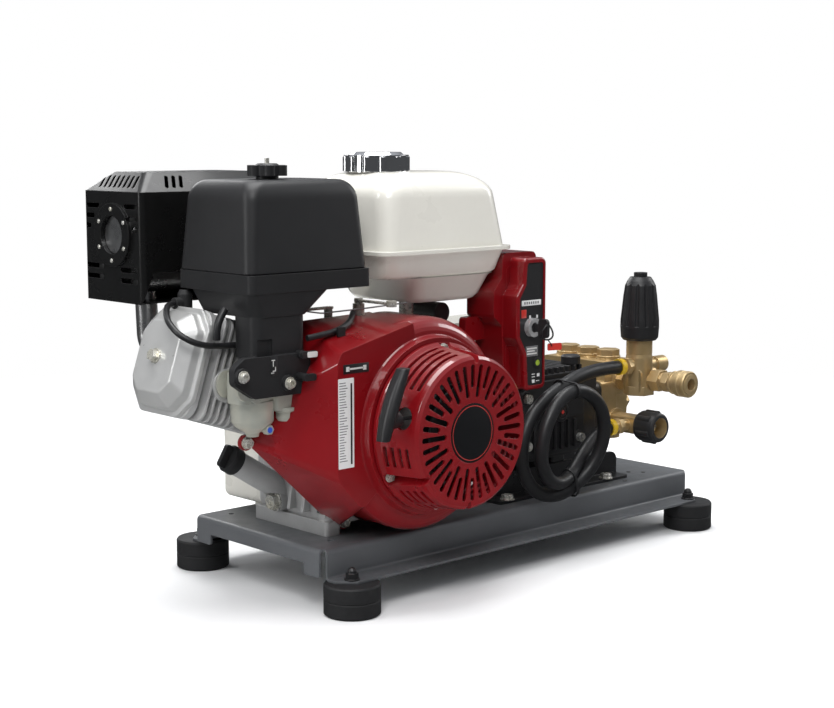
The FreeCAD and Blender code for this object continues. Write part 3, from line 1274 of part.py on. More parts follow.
def model():
    shapes = {}
    shapes["base_plate"] = base_plate()
    shapes["rubber_feet"] = rubber_feet()
    shapes["frame_fasteners"] = group(foot_fasteners() + engine_mount_bolts() + bracket_bolts())
    shapes["pump_bracket"] = pump_bracket()
    shapes["crankcase"] = crankcase()
    shapes["crankcase_cover"] = crankcase_cover()
    shapes["cylinder_head"] = cylinder_head()
    shapes["valve_cover"] = valve_cover()
    shapes["engine_fasteners"] = group(engine_fasteners())
    shapes["spark_plug"] = group(spark_plug())
    shapes["plug_lead"] = tube(lead_points(), 3.5, "plug_lead")
    shapes["crankshaft"] = crankshaft()
    shapes["piston"] = piston()
    shapes["flywheel"] = flywheel()
    shapes["starter_motor"] = starter_motor()
    shapes["shroud"] = shroud()
    shapes["recoil_cover"] = recoil_cover()
    shapes["recoil_reel"] = recoil_reel()
    shapes["recoil_grip"] = group(recoil_grip())
    shapes["carburettor"] = carburettor()
    shapes["float_bowl"] = float_bowl()
    shapes["intake_box"] = intake_box()
    shapes["filter_element"] = filter_element()
    shapes["air_cleaner_cover"] = air_cleaner_cover()
    shapes["wing_knob"] = wing_knob()
    shapes["choke_lever"] = lever_choke()
    shapes["fuel_lever"] = lever_fuel()
    shapes["throttle_lever"] = lever_throttle()
    shapes["governor_arm"] = governor_arm()
    shapes["control_plate"] = control_plate()
    shapes["fuel_tank"] = fuel_tank()
    shapes["tank_cap"] = tank_cap()
    shapes["muffler"] = muffler()
    shapes["muffler_guard"] = muffler_guard()
    shapes["control_box"] = control_box()
    shapes["control_panel"] = control_panel()
    shapes["ignition_key"] = ignition_key()
    shapes["dipstick_cap"] = dipstick_cap()
    shapes["engine_pulley"] = engine_pulley()
    shapes["pump_pulley"] = pump_pulley()
    shapes["drive_belts"] = drive_belts()
    shapes["belt_guard"] = belt_guard()
    shapes["pump_crankcase"] = pump_crankcase()
    shapes["pump_side_covers"] = group(pump_side_covers())
    shapes["pump_fasteners"] = group(pump_fasteners())
    shapes["pump_oil_cap"] = pump_oil_cap()
    shapes["pump_crankshaft"] = pump_crankshaft()
    for number, y in enumerate(cylinder_places(), 1):
        shapes[f"plunger_{number}"] = plunger(y)
    shapes["pump_head"] = pump_head()
    shapes["valve_caps"] = valve_caps()
    shapes["unloader_body"] = unloader_body()
    shapes["unloader_knob"] = unloader_knob()
    shapes["outlet_coupler"] = outlet_coupler()
    shapes["coupler_sleeve"] = coupler_sleeve()
    shapes["inlet_fitting"] = inlet_fitting()
    shapes["garden_nut"] = garden_nut()
    shapes["hose_rings"] = group(hose_rings())
    shapes["bypass_hose"] = bypass_hose()
    for name, neighbours in FITTED:
        shapes[name] = relieved(shapes[name], [shapes[n] for n in neighbours])
    return shapes


def main():
    os.makedirs("parts", exist_ok=True)
    for name, shape in model().items():
        save(shape, name)


main()
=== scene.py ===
import math
import random

import bmesh
import bpy
from mathutils import Matrix, Vector


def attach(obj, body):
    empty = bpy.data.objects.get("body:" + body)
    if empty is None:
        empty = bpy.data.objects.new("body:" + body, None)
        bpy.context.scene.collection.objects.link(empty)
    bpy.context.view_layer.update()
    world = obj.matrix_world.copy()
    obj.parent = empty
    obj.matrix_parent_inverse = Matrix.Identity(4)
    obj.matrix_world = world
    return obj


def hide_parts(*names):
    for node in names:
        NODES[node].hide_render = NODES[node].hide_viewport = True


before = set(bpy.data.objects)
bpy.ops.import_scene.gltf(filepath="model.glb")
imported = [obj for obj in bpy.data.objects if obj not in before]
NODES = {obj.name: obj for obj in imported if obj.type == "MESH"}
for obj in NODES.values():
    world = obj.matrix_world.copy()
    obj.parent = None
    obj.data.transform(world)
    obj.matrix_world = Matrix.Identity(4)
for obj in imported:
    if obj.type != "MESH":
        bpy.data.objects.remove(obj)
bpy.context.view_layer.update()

COLLECTION = bpy.context.scene.collection
random.seed(11)


def mm(x, y, z):
    return Vector((x, y, z)) * 0.001


# ---- places and sizes in millimetres, as in the part ----
CRANK = (-194.0, 206.0)
FOOT_NUT_Y = 128.0
KNOB = (-342.5, -40.0)
KNOB_CROWN_Z = 511.5
KNOB_STUD_R = 4.0
PANEL_Y = -130.0
PANEL_PRINT_Y = PANEL_Y - 0.25
INLET = (212.0, 155.0)
INLET_BORE_R = 13.9
SHROUD_Y = -152.0
SHROUD_PRINT_Y = SHROUD_Y - 0.3
BADGE_Y = -223.5
BADGE_R = 34.3
CLEANER_X = (-422.0, -246.0)
CLEANER_Y = (-110.0, 31.0)
TANK_X = (-224.0, -8.0)
TANK_Y = (-112.0, 75.0)
BELLY_X = (-168.0, -23.0)
BELLY_Y = (-97.0, 60.0)
OIL_WINDOW_XZ = (85, 184)
MUFFLER_OUTLET_YZ = (113, 427.5)
MUFFLER_OUTLET_SCREWS_R = 30
HOSE_R = 8.75
BAR_DEPTH = 0.08
LABEL_ROWS = 30
LABEL_ROW_STEP = 3.05

X_AXIS = (1, 0, 0)
Z_AXIS = (0, 0, 1)

# ---- the round floor, in metres ----
FLOOR_R = 1.9


# ---- camera ----
def make_camera():
    data = bpy.data.cameras.new("camera")
    data.lens = 70.17
    data.sensor_width = 36.0
    data.clip_start = 0.05
    data.clip_end = 60.0
    camera = bpy.data.objects.new("camera", data)
    right = Vector((0.7319, -0.6813, 0.0))
    up = Vector((0.0899, 0.0965, 0.9913))
    back = Vector((-0.6755, -0.7256, 0.1319))
    turn = Matrix((right, up, back)).transposed()
    camera.matrix_world = Matrix.Translation((-1.4844, -1.5167, 0.5398)) @ turn.to_4x4()
    COLLECTION.objects.link(camera)
    bpy.context.scene.camera = camera


# ---- materials ----
def add(tree, kind, **values):
    node = tree.nodes.new(kind)
    for key, value in values.items():
        setattr(node, key, value)
    return node


def noise(tree, coord, scale, detail=3.0, rough=0.5, stretch=(1, 1, 1)):
    scaled = add(tree, "ShaderNodeMapping")
    scaled.inputs["Scale"].default_value = stretch
    tree.links.new(coord, scaled.inputs["Vector"])
    made = add(tree, "ShaderNodeTexNoise")
    made.inputs["Scale"].default_value = scale
    made.inputs["Detail"].default_value = detail
    made.inputs["Roughness"].default_value = rough
    tree.links.new(scaled.outputs["Vector"], made.inputs["Vector"])
    return made.outputs["Fac"]


def spread(tree, value, low, high, out_low, out_high):
    made = add(tree, "ShaderNodeMapRange")
    for key, number in (("From Min", low), ("From Max", high), ("To Min", out_low), ("To Max", out_high)):
        made.inputs[key].default_value = number
    tree.links.new(value, made.inputs["Value"])
    return made.outputs["Result"]


def mix(tree, factor, a, b):
    made = add(tree, "ShaderNodeMix", data_type="RGBA")
    tree.links.new(factor, made.inputs["Factor"])
    for socket, value in ((made.inputs[6], a), (made.inputs[7], b)):
        if hasattr(value, "is_linked"):
            tree.links.new(value, socket)
        else:
            socket.default_value = (*value, 1.0)
    return made.outputs[2]


def shade(color, factor):
    return tuple(min(1.0, c * factor) for c in color)


def surface(name, color, rough, metallic=0.0, specular=0.5, coat=0.0, coat_rough=0.04, tone=0.1,
            tone_scale=14.0, grain_scale=900.0, grain=0.1, grain_depth=0.1, rough_spread=0.07,
            round_mm=0.7, edge=None, edge_amount=0.6, stretch=(1, 1, 1), second=None):
    """A procedural finish: broad tone change, fine grain, uneven gloss, rounded edges made lighter in the
    edge colour, partly as rubbed wear and partly as a painted highlight.
    """
    material = bpy.data.materials.new(name)
    material.use_nodes = True
    tree = material.node_tree
    shader = tree.nodes["Principled BSDF"]
    shader.inputs["Metallic"].default_value = metallic
    shader.inputs["Specular IOR Level"].default_value = specular
    shader.inputs["Coat Weight"].default_value = coat
    shader.inputs["Coat Roughness"].default_value = coat_rough
    coord = add(tree, "ShaderNodeTexCoord").outputs["Object"]
    broad = spread(tree, noise(tree, coord, tone_scale), 0.3, 0.7, 0.0, 1.0)
    base = mix(tree, broad, shade(color, 1 - tone), second or shade(color, 1 + tone))
    fine = noise(tree, coord, grain_scale, 4.0, 0.6, stretch)
    speck = spread(tree, fine, 0.35, 0.65, 0.0, 1.0)
    speck_small = spread(tree, speck, 0.0, 1.0, 0.0, min(1.0, tone * 1.5))
    base = mix(tree, speck_small, base, shade(color, 0.72))
    rounded = add(tree, "ShaderNodeBevel", samples=5)
    rounded.inputs["Radius"].default_value = round_mm * 0.001
    # Edges take the lighter edge colour: partly rubbed wear, partly a painted edge highlight.
    if edge:
        geometry = add(tree, "ShaderNodeNewGeometry")
        dot = add(tree, "ShaderNodeVectorMath", operation="DOT_PRODUCT")
        tree.links.new(rounded.outputs["Normal"], dot.inputs[0])
        tree.links.new(geometry.outputs["Normal"], dot.inputs[1])
        edge_wear_and_highlight = spread(tree, dot.outputs["Value"], 0.975, 0.85, 0.0, edge_amount)
        base = mix(tree, edge_wear_and_highlight, base, edge)
    tree.links.new(base, shader.inputs["Base Color"])
    patch = noise(tree, coord, tone_scale * 3.0, 4.0, 0.6)
    gloss = spread(tree, patch, 0.3, 0.7, max(0.02, rough - rough_spread), min(1.0, rough + rough_spread))
    tree.links.new(gloss, shader.inputs["Roughness"])
    bump = add(tree, "ShaderNodeBump")
    bump.inputs["Strength"].default_value = grain
    bump.inputs["Distance"].default_value = grain_depth * 0.001
    tree.links.new(fine, bump.inputs["Height"])
    tree.links.new(rounded.outputs["Normal"], bump.inputs["Normal"])
    tree.links.new(bump.outputs["Normal"], shader.inputs["Normal"])
    return material


def pierce(material):
    """Darkens a sheet finish with a close pattern of round holes."""
    tree = material.node_tree
    shader = tree.nodes["Principled BSDF"]
    coord = add(tree, "ShaderNodeTexCoord").outputs["Object"]
    cells = add(tree, "ShaderNodeTexVoronoi")
    cells.inputs["Scale"].default_value = 420.0
    cells.inputs["Randomness"].default_value = 0.15
    tree.links.new(coord, cells.inputs["Vector"])
    hole = spread(tree, cells.outputs["Distance"], 0.36, 0.44, 1.0, 0.0)
    bare = shader.inputs["Base Color"].links[0].from_socket
    tree.links.new(mix(tree, hole, bare, (0.01, 0.01, 0.01)), shader.inputs["Base Color"])


M = {}


def make_materials():
    M["painted_steel"] = surface("powder_coat_grey", (0.105, 0.11, 0.117), 0.42, specular=0.45, tone=0.07,
                                 grain_scale=700, grain=0.22, grain_depth=0.12, round_mm=1.4,
                                 edge=(0.2, 0.205, 0.215), edge_amount=0.35)
    M["black_rubber"] = surface("foot_rubber", (0.018, 0.018, 0.019), 0.62, specular=0.35, tone=0.2,
                                grain_scale=500, grain=0.3, grain_depth=0.15, round_mm=1.2,
                                edge=(0.05, 0.05, 0.05), edge_amount=0.4)
    M["zinc_steel"] = surface("bright_zinc", (0.66, 0.66, 0.64), 0.28, metallic=0.6, tone=0.1,
                              tone_scale=60, second=(0.66, 0.63, 0.52), grain_scale=1500, grain=0.08,
                              round_mm=0.5, edge=(0.85, 0.85, 0.85))
    M["black_steel"] = surface("black_bracket_paint", (0.014, 0.014, 0.015), 0.33, specular=0.5, tone=0.15,
                               grain_scale=500, grain=0.15, round_mm=0.9, edge=(0.06, 0.06, 0.06),
                               edge_amount=0.4)
    M["cast_aluminium"] = surface("silver_casting", (0.5, 0.5, 0.495), 0.42, metallic=0.4, tone=0.1,
                                  tone_scale=20, grain_scale=650, grain=0.5, grain_depth=0.25,
                                  round_mm=1.6, edge=(0.78, 0.78, 0.77), edge_amount=0.5)
    M["pressed_aluminium"] = surface("silver_cover_paint", (0.6, 0.6, 0.59), 0.34, metallic=0.5, tone=0.05,
                                     grain_scale=1400, grain=0.04, round_mm=3.0, coat=0.25,
                                     coat_rough=0.2, edge=(0.85, 0.85, 0.84), edge_amount=0.3)
    M["black_hose"] = surface("hose_rubber", (0.013, 0.013, 0.014), 0.4, specular=0.45, tone=0.15,
                              tone_scale=30, grain_scale=420, grain=0.18, grain_depth=0.1, round_mm=0.3)
    M["steel"] = surface("machined_steel", (0.5, 0.5, 0.5), 0.3, metallic=1.0, tone=0.12,
                         grain_scale=300, grain=0.1, stretch=(1, 12, 1), edge=(0.75, 0.75, 0.75))
    M["red_gloss"] = surface("red_enamel", (0.215, 0.003, 0.006), 0.3, specular=0.3, coat=1.0,
                             coat_rough=0.03, tone=0.05, tone_scale=5, grain_scale=90, grain=0.05,
                             grain_depth=0.12, rough_spread=0.04, round_mm=1.2,
                             edge=(0.42, 0.02, 0.025), edge_amount=0.35)
    M["black_plastic"] = surface("satin_black_plastic", (0.019, 0.019, 0.02), 0.44, specular=0.36,
                                 tone=0.07, grain_scale=1300, grain=0.14, grain_depth=0.06,
                                 rough_spread=0.04, round_mm=1.0, edge=(0.06, 0.06, 0.062),
                                 edge_amount=0.35)
    M["zinc_cast"] = surface("passivated_zinc", (0.43, 0.45, 0.41), 0.34, metallic=0.4, tone=0.04,
                             tone_scale=30, second=(0.57, 0.55, 0.46), grain_scale=900, grain=0.02,
                             round_mm=0.8)
    M["filter_foam"] = surface("filter_foam", (0.05, 0.05, 0.05), 0.9, tone=0.4, tone_scale=200,
                               grain_scale=350, grain=0.9, grain_depth=0.8)
    M["cream_paint"] = surface("cream_enamel", (0.8, 0.78, 0.71), 0.3, specular=0.5, coat=0.6,
                               coat_rough=0.08, tone=0.03, tone_scale=5, grain_scale=120, grain=0.04,
                               rough_spread=0.05, round_mm=1.5, edge=(0.88, 0.87, 0.83),
                               edge_amount=0.3)
    M["chrome_cap"] = surface("chrome_plate", (0.8, 0.8, 0.82), 0.07, metallic=1.0, tone=0.04,
                              grain_scale=900, grain=0.02, rough_spread=0.03, round_mm=1.0)
    M["gloss_black"] = surface("heat_enamel_black", (0.006, 0.006, 0.006), 0.3, specular=0.3, coat=0.25,
                               coat_rough=0.08, tone=0.15, grain_scale=160, grain=0.06,
                               rough_spread=0.05, round_mm=1.2, edge=(0.04, 0.038, 0.036),
                               edge_amount=0.3)
    M["brass"] = surface("forged_brass", (0.56, 0.395, 0.18), 0.36, metallic=0.68, tone=0.1, tone_scale=35,
                         second=(0.64, 0.48, 0.26), grain_scale=750, grain=0.2, grain_depth=0.1,
                         round_mm=0.9, edge=(0.75, 0.6, 0.36), edge_amount=0.6)
    M["pump_black"] = surface("pump_casting_black", (0.02, 0.02, 0.021), 0.38, specular=0.5, tone=0.15,
                              grain_scale=520, grain=0.4, grain_depth=0.2, round_mm=1.2,
                              edge=(0.07, 0.07, 0.07), edge_amount=0.4)
    M["belt_rubber"] = surface("belt_cloth", (0.02, 0.02, 0.02), 0.75, tone=0.25, grain_scale=600,
                               grain=0.6, grain_depth=0.3)
    M["yellow_plastic"] = surface("yellow_plastic", (0.62, 0.4, 0.02), 0.35, tone=0.05, grain_scale=900,
                                  grain=0.05, round_mm=0.6)
    M["grip_rubber"] = surface("grip_plastic", (0.016, 0.016, 0.017), 0.42, specular=0.45, tone=0.12,
                               grain_scale=1200, grain=0.2, grain_depth=0.06, round_mm=1.2,
                               edge=(0.05, 0.05, 0.05), edge_amount=0.3)
    M["panel_black"] = surface("panel_black", (0.008, 0.008, 0.009), 0.34, specular=0.3, tone=0.05,
                               grain_scale=1500, grain=0.06, round_mm=0.4)
    M["label_white"] = surface("label_white", (0.78, 0.78, 0.77), 0.45, tone=0.03, grain_scale=1500,
                               grain=0.03, round_mm=0.2)
    M["print_grey"] = surface("print_grey", (0.16, 0.16, 0.165), 0.5, tone=0.3, tone_scale=600,
                              grain_scale=1500, grain=0.02, round_mm=0.2)
    M["print_black"] = surface("print_black", (0.015, 0.015, 0.016), 0.45, tone=0.1, grain_scale=1500,
                               grain=0.02, round_mm=0.2)
    M["signal_red"] = surface("signal_red", (0.55, 0.03, 0.02), 0.4, tone=0.08, grain_scale=1500,
                              grain=0.03, round_mm=0.2)
    M["paint_dot_yellow"] = surface("paint_dot_yellow", (0.72, 0.5, 0.02), 0.4, tone=0.1,
                                    grain_scale=900, grain=0.1, round_mm=0.3)
    M["paint_dot_blue"] = surface("paint_dot_blue", (0.02, 0.1, 0.6), 0.4, tone=0.1, grain_scale=900,
                                  grain=0.1, round_mm=0.3)
    M["soft_white"] = surface("white_lever_plastic", (0.7, 0.7, 0.68), 0.42, tone=0.05, grain_scale=900,
                              grain=0.06, round_mm=0.5)
    M["grey_zinc"] = surface("grey_linkage_zinc", (0.42, 0.44, 0.45), 0.32, metallic=0.9, tone=0.12,
                             tone_scale=40, grain_scale=900, grain=0.15, round_mm=0.6,
                             edge=(0.7, 0.7, 0.7))
    M["barrel_chrome"] = surface("lock_chrome", (0.7, 0.7, 0.7), 0.16, metallic=0.6, tone=0.05,
                                 grain_scale=900, grain=0.03, round_mm=0.6)
    M["lamp_green"] = surface("lamp_green", (0.35, 0.5, 0.05), 0.15, specular=0.6, coat=1.0, tone=0.3,
                              tone_scale=300, grain_scale=900, grain=0.02, round_mm=0.3)
    M["wire_screen"] = surface("wire_screen", (0.62, 0.62, 0.6), 0.3, metallic=0.7, tone=0.1,
                               grain_scale=900, grain=0.1, round_mm=0.3)
    pierce(M["wire_screen"])
    M["glass"] = surface("oil_window", (0.02, 0.012, 0.01), 0.08, specular=0.6, coat=1.0, tone=0.2,
                         grain_scale=300, grain=0.02, round_mm=0.4)


def dress_nodes():
    """Every CAD node takes the finish of its slot in the record."""
    for node in NODES.values():
        for place in node.material_slots:
            place.material = M[place.material.name.split(".")[0]]


def paint_faces(node, material, chosen):
    """Gives the chosen faces of a CAD node a second finish."""
    mesh = NODES[node].data
    mesh.materials.append(material)
    index = len(mesh.materials) - 1
    for face in mesh.polygons:
        if chosen(face.center * 1000):
            face.material_index = index


def paint_details():
    """Second finishes: black foot nuts, knob stud, lock barrel, brass nut thread."""
    paint_faces("frame_fasteners", M["black_steel"], lambda c: abs(c.y) > FOOT_NUT_Y)
    paint_faces("wing_knob", M["zinc_steel"],
                lambda c: c.z > KNOB_CROWN_Z and math.hypot(c.x - KNOB[0], c.y - KNOB[1]) < KNOB_STUD_R)
    paint_faces("control_panel", M["barrel_chrome"], lambda c: c.y < PANEL_Y - 0.5)
    paint_faces("garden_nut", M["brass"],
                lambda c: math.hypot(c.x - INLET[0], c.z - INLET[1]) < INLET_BORE_R)


# ---- mesh helpers ----
def mesh_object(name, mesh, material, body):
    made = bpy.data.objects.new(name, mesh)
    COLLECTION.objects.link(made)
    materials = material if isinstance(material, (list, tuple)) else [material]
    for m in materials:
        made.data.materials.append(m)
    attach(made, body)
    return made


def from_lists(name, points, faces, material, body, smooth=True, sharp=40.0):
    mesh = bpy.data.meshes.new(name)
    mesh.from_pydata([tuple(p) for p in points], [], faces)
    work = bmesh.new()
    work.from_mesh(mesh)
    bmesh.ops.recalc_face_normals(work, faces=work.faces)
    work.to_mesh(mesh)
    work.free()
    if smooth:
        mesh.shade_smooth()
        mesh.set_sharp_from_angle(angle=math.radians(sharp))
    mesh.update()
    return mesh_object(name, mesh, material, body)


def loops_to_mesh(name, loops, material, body, caps=(True, True), sharp=40.0):
    """Skins a stack of closed loops that all have the same number of points."""
    count = len(loops[0])
    points = [p for loop in loops for p in loop]
    faces = []
    for i in range(len(loops) - 1):
        for j in range(count):
            k = (j + 1) % count
            faces.append((i * count + j, i * count + k, (i + 1) * count + k, (i + 1) * count + j))
    if caps[0]:
        faces.append(tuple(reversed(range(count))))
    if caps[1]:
        faces.append(tuple(range((len(loops) - 1) * count, len(loops) * count)))
    return from_lists(name, points, faces, material, body, True, sharp)


def rounded_rect(cx, cy, hx, hy, r, per_corner=8):
    """Corner-rounded rectangle as a list of (x, y)."""
    r = min(r, hx - 0.01, hy - 0.01)
    made = []
    for sx, sy, start in ((1, 1, 0), (-1, 1, 90), (-1, -1, 180), (1, -1, 270)):
        for k in range(per_corner + 1):
            t = math.radians(start + 90 * k / per_corner)
            made.append((cx + sx * (hx - r) + r * math.cos(t), cy + sy * (hy - r) + r * math.sin(t)))
    return made


def curve_piece(name, points, radius, material, body, order=3, sides=6):
    """A smooth round rod, wire or cable through millimetre points."""
    data = bpy.data.curves.new(name, "CURVE")
    data.dimensions = "3D"
    data.bevel_depth = radius * 0.001
    data.bevel_resolution = sides
    data.resolution_u = 12
    data.use_fill_caps = True
    spline = data.splines.new("NURBS")
    spline.points.add(len(points) - 1)
    for target, p in zip(spline.points, points):
        target.co = (p[0] * 0.001, p[1] * 0.001, p[2] * 0.001, 1.0)
    spline.order_u = order
    spline.use_endpoint_u = True
    made = bpy.data.objects.new(name, data)
    COLLECTION.objects.link(made)
    made.data.materials.append(material)
    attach(made, body)
    return made


def axes(direction):
    """Two unit vectors square to a direction."""
    d = Vector(direction).normalized()
    side = Vector((0, 0, 1)) if abs(d.z) < 0.9 else Vector((1, 0, 0))
    a = d.cross(side).normalized()
    return a, d.cross(a).normalized(), d


def turned(name, centre, direction, profile, material, body, count=40, sharp=35.0):
    """A turned piece: (radius, height) points in millimetres along a direction from a centre."""
    a, b, d = axes(direction)
    origin = mm(*centre)
    loops = []
    for radius, height in profile:
        r = max(radius, 0.02) * 0.001
        loops.append([origin + d * height * 0.001 + (a * math.cos(t) + b * math.sin(t)) * r
                      for t in (2 * math.pi * k / count for k in range(count))])
    return loops_to_mesh(name, loops, material, body, (True, True), sharp)


# ---- the bypass hose, a cord of fixed length ----
HOSE_ROUTE = [(172, -130, 237), (144, -130.5, 238), (108, -132, 236), (76, -134, 230.5),
              (48, -136, 220.5), (20, -138, 210), (-6, -139, 192), (-21, -139, 166), (-24, -139, 136),
              (-12, -139, 108), (12, -139, 89), (42, -140, 83), (70, -143, 91), (94, -149, 109),
              (109, -155, 135), (114, -159, 164), (106, -160, 193), (84, -160, 214), (54, -160, 223),
              (26, -160, 214), (5, -160, 193), (-7, -160, 166), (-10, -160, 138), (4, -159, 113),
              (29, -155, 102), (58, -147, 106), (84, -138, 120), (110, -130, 136), (138, -124, 149),
              (164, -122, 155)]


def make_hose():
    hose = curve_piece("bypass_hose_rubber", HOSE_ROUTE, HOSE_R, M["black_hose"], "frame", 3, 8)
    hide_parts("bypass_hose")


# ---- covers with soft forms ----
def section(x, y, inset, radius, z):
    """One level of a pressed or moulded cover: its corner-rounded outline at height z."""
    hx = (x[1] - x[0]) / 2 - inset
    hy = (y[1] - y[0]) / 2 - inset
    outline = rounded_rect((x[0] + x[1]) / 2, (y[0] + y[1]) / 2, hx, hy, radius)
    return [mm(a, b, z) for a, b in outline]


def soft_top(x, y, low, high, depth, inset, radius):
    """Levels of a rounded upper edge from low to high, drawn in by depth on top of inset."""
    levels = []
    for k in range(9):
        t = math.radians(90 * k / 8)
        levels.append(section(x, y, inset + depth * (1 - math.cos(t)), radius + 6 * k / 8,
                              low + (high - low) * math.sin(t)))
    return levels


def make_cleaner():
    x = CLEANER_X
    y = CLEANER_Y
    loops = [section(x, y, 3.0, 12, 391.2), section(x, y, 2.0, 12, 392.4), section(x, y, 3.0, 12, 405)]
    loops += soft_top(x, y, 470, 493, 15, 7.5, 14)
    cover = loops_to_mesh("air_cleaner_shell", loops, M["black_plastic"], "frame")
    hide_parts("air_cleaner_cover")


def make_tank():
    loops = [section(BELLY_X, BELLY_Y, inset, radius, z)
             for inset, radius, z in ((22, 16, 340), (17, 20, 341.5), (12, 22, 347), (2, 24, 371),
                                      (-2, 26, 373))]
    loops += [section(TANK_X, TANK_Y, inset, radius, z)
              for inset, radius, z in ((16, 22, 373), (12, 22, 377), (5, 22, 402), (-1, 20, 402.2),
                                       (-1, 20, 406.8), (5, 22, 407), (8, 23, 430))]
    loops += soft_top(TANK_X, TANK_Y, 468, 499, 44, 12.5, 26)
    tank = loops_to_mesh("tank_shell", loops, M["cream_paint"], "frame", sharp=50.0)
    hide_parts("fuel_tank")
    turned("tank_neck", (-150, -10, 497), (0, 0, 1), [(34, 0), (33, 3), (33, 5)], M["cream_paint"], "frame")
    turned("tank_outlet", (-128, -40, 322), (0, 0, 1), [(8, 0), (9, 1), (9, 23)], M["zinc_steel"], "frame")


# ---- labels, lamps and small hardware ----
def prism_piece(name, origin, u, v, outline, depth, material, body):
    """A thin piece with the given outline in the plane of u and v, standing out by depth."""
    base = mm(*origin)
    across = Vector(u).normalized()
    along = Vector(v).normalized()
    out = across.cross(along)
    loops = []
    for lift, shrink in ((0.0, 1.0), (depth * 0.7, 1.0), (depth, 0.985)):
        loops.append([base + (across * a * shrink + along * b * shrink + out * lift) * 0.001
                      for a, b in outline])
    return loops_to_mesh(name, loops, material, body)


def bars(name, origin, u, v, rows, material, body):
    """Many small thin bars in one mesh: rows holds (centre across, centre along, width, height)."""
    base = mm(*origin)
    across = Vector(u)
    along = Vector(v)
    inward = along.cross(across) * BAR_DEPTH
    points = []
    faces = []
    for a, b, width, height in rows:
        start = len(points)
        for depth in (0, 1):
            for sa, sb in ((-1, -1), (1, -1), (1, 1), (-1, 1)):
                corner = across * (a + sa * width / 2) + along * (b + sb * height / 2) + inward * depth
                points.append(base + corner * 0.001)
        for side in ((0, 1, 2, 3), (7, 6, 5, 4), (0, 4, 5, 1), (1, 5, 6, 2), (2, 6, 7, 3), (3, 7, 4, 0)):
            faces.append([start + corner for corner in side])
    return from_lists(name, points, faces, material, body, False)


def front_plate(name, x, y, z, half_x, half_z, radius, depth, material, body="frame"):
    """A plate that faces the starter side."""
    return prism_piece(name, (x, y, z), X_AXIS, Z_AXIS, rounded_rect(0, 0, half_x, half_z, radius, 3), depth,
                       material, body)


def make_labels():
    front_plate("shroud_label", -322, SHROUD_Y, 223, 11.5, 51, 1, 0.25, M["label_white"])
    rows = []
    for k in range(LABEL_ROWS):
        height = 46 - LABEL_ROW_STEP * k
        length = random.uniform(6.5, 12.5)
        rows.append((-10 + length / 2, height, length, 1.0))
    bars("shroud_label_rows", (-322, SHROUD_PRINT_Y, 223), X_AXIS, Z_AXIS, rows, M["print_grey"], "frame")
    bars("shroud_label_edge", (-322, SHROUD_PRINT_Y, 223), X_AXIS, Z_AXIS, [(7.6, -1, 2.6, 92)],
         M["print_black"], "frame")
    front_plate("tool_sticker", -307, SHROUD_Y, 284, 19, 5.4, 0.8, 0.25, M["print_black"])
    bars("tool_sticker_sign", (-307, SHROUD_PRINT_Y, 284), X_AXIS, Z_AXIS,
         [(0, 0, 22, 2.0), (-12.5, 0, 5.0, 5.4), (12.5, 0, 5.0, 5.4)], M["soft_white"], "frame")
    turned("badge", (CRANK[0], BADGE_Y, CRANK[1]), (0, -1, 0), [(BADGE_R, 0), (BADGE_R, 0.25), (33.9, 0.4)],
           M["panel_black"], "frame", 64)
    ring_piece("badge_rim", (CRANK[0], BADGE_Y - 0.4, CRANK[1]), 31.0, 31.8, 0.08, M["signal_red"])
    front_plate("panel_top_bar", 2.5, PANEL_Y, 334.8, 17.5, 3.4, 0.6, 0.2, M["label_white"])
    bars("panel_top_rows", (2.5, PANEL_PRINT_Y, 334.8), X_AXIS, Z_AXIS,
         [(-12 + 4 * k, 0, 2.4, 3.2) for k in range(7)], M["print_grey"], "frame")
    front_plate("panel_stop_mark", -11, PANEL_Y, 321.5, 4.6, 5.2, 0.6, 0.2, M["signal_red"])
    front_plate("panel_lower_bar", 4, PANEL_Y, 273.5, 11, 6.6, 0.6, 0.2, M["print_grey"])
    bars("panel_lower_rows", (4, PANEL_PRINT_Y, 273.5), X_AXIS, Z_AXIS,
         [(0, 3.4, 18, 1.8), (-2, 0.2, 14, 1.6), (0, -3.2, 18, 1.8)], M["soft_white"], "frame")
    turned("panel_lamp_seat", (14, PANEL_Y, 258), (0, -1, 0), [(7.4, 0), (7.4, 0.6), (6.2, 0.9)],
           M["print_black"], "frame")
    turned("panel_lamp", (14, PANEL_Y - 0.5, 258), (0, -1, 0), [(5.4, 0), (5.0, 0.3), (3.0, 0.45)],
           M["lamp_green"], "frame")
    bars("panel_signs", (11, PANEL_PRINT_Y, 240), X_AXIS, Z_AXIS,
         [(-4, 4, 6, 1.0), (-4, 0.5, 6, 1.0), (5, 2.3, 5, 4.2), (-4, -5, 5, 4.2), (4, -5, 6, 1.0),
          (-11, 77, 3, 4), (2, 77, 3, 4)], M["label_white"], "frame")


def ring_piece(name, centre, inner, outer, depth, material, body="frame", direction=(0, -1, 0)):
    """A flat ring."""
    a, b, d = axes(direction)
    origin = mm(*centre)
    count = 64
    loops = []
    for radius, height in ((inner, 0), (outer, 0), (outer, depth), (inner, depth), (inner, 0)):
        loops.append([origin + (d * height + (a * math.cos(t) + b * math.sin(t)) * radius) * 0.001
                      for t in (2 * math.pi * k / count for k in range(count))])
    return loops_to_mesh(name, loops, material, body, (False, False))


def strap(name, centre, u, v, half_long, half_wide, width, material):
    """A cable tie round two hose turns: a flat band whose outline lies in the plane of u and v."""
    base = mm(*centre)
    across = Vector(u).normalized()
    along = (Vector(v) - across * Vector(v).dot(across)).normalized()
    out = across.cross(along)
    loops = []
    for grow, side in ((0, -1), (1.2, -1), (1.2, 1), (0, 1), (0, -1)):
        outline = rounded_rect(0, 0, half_long + grow, half_wide + grow, half_wide + grow, 10)
        loops.append([base + (across * a + along * b + out * side * width / 2) * 0.001 for a, b in outline])
    loops_to_mesh(name, loops, material, "frame", (False, False))


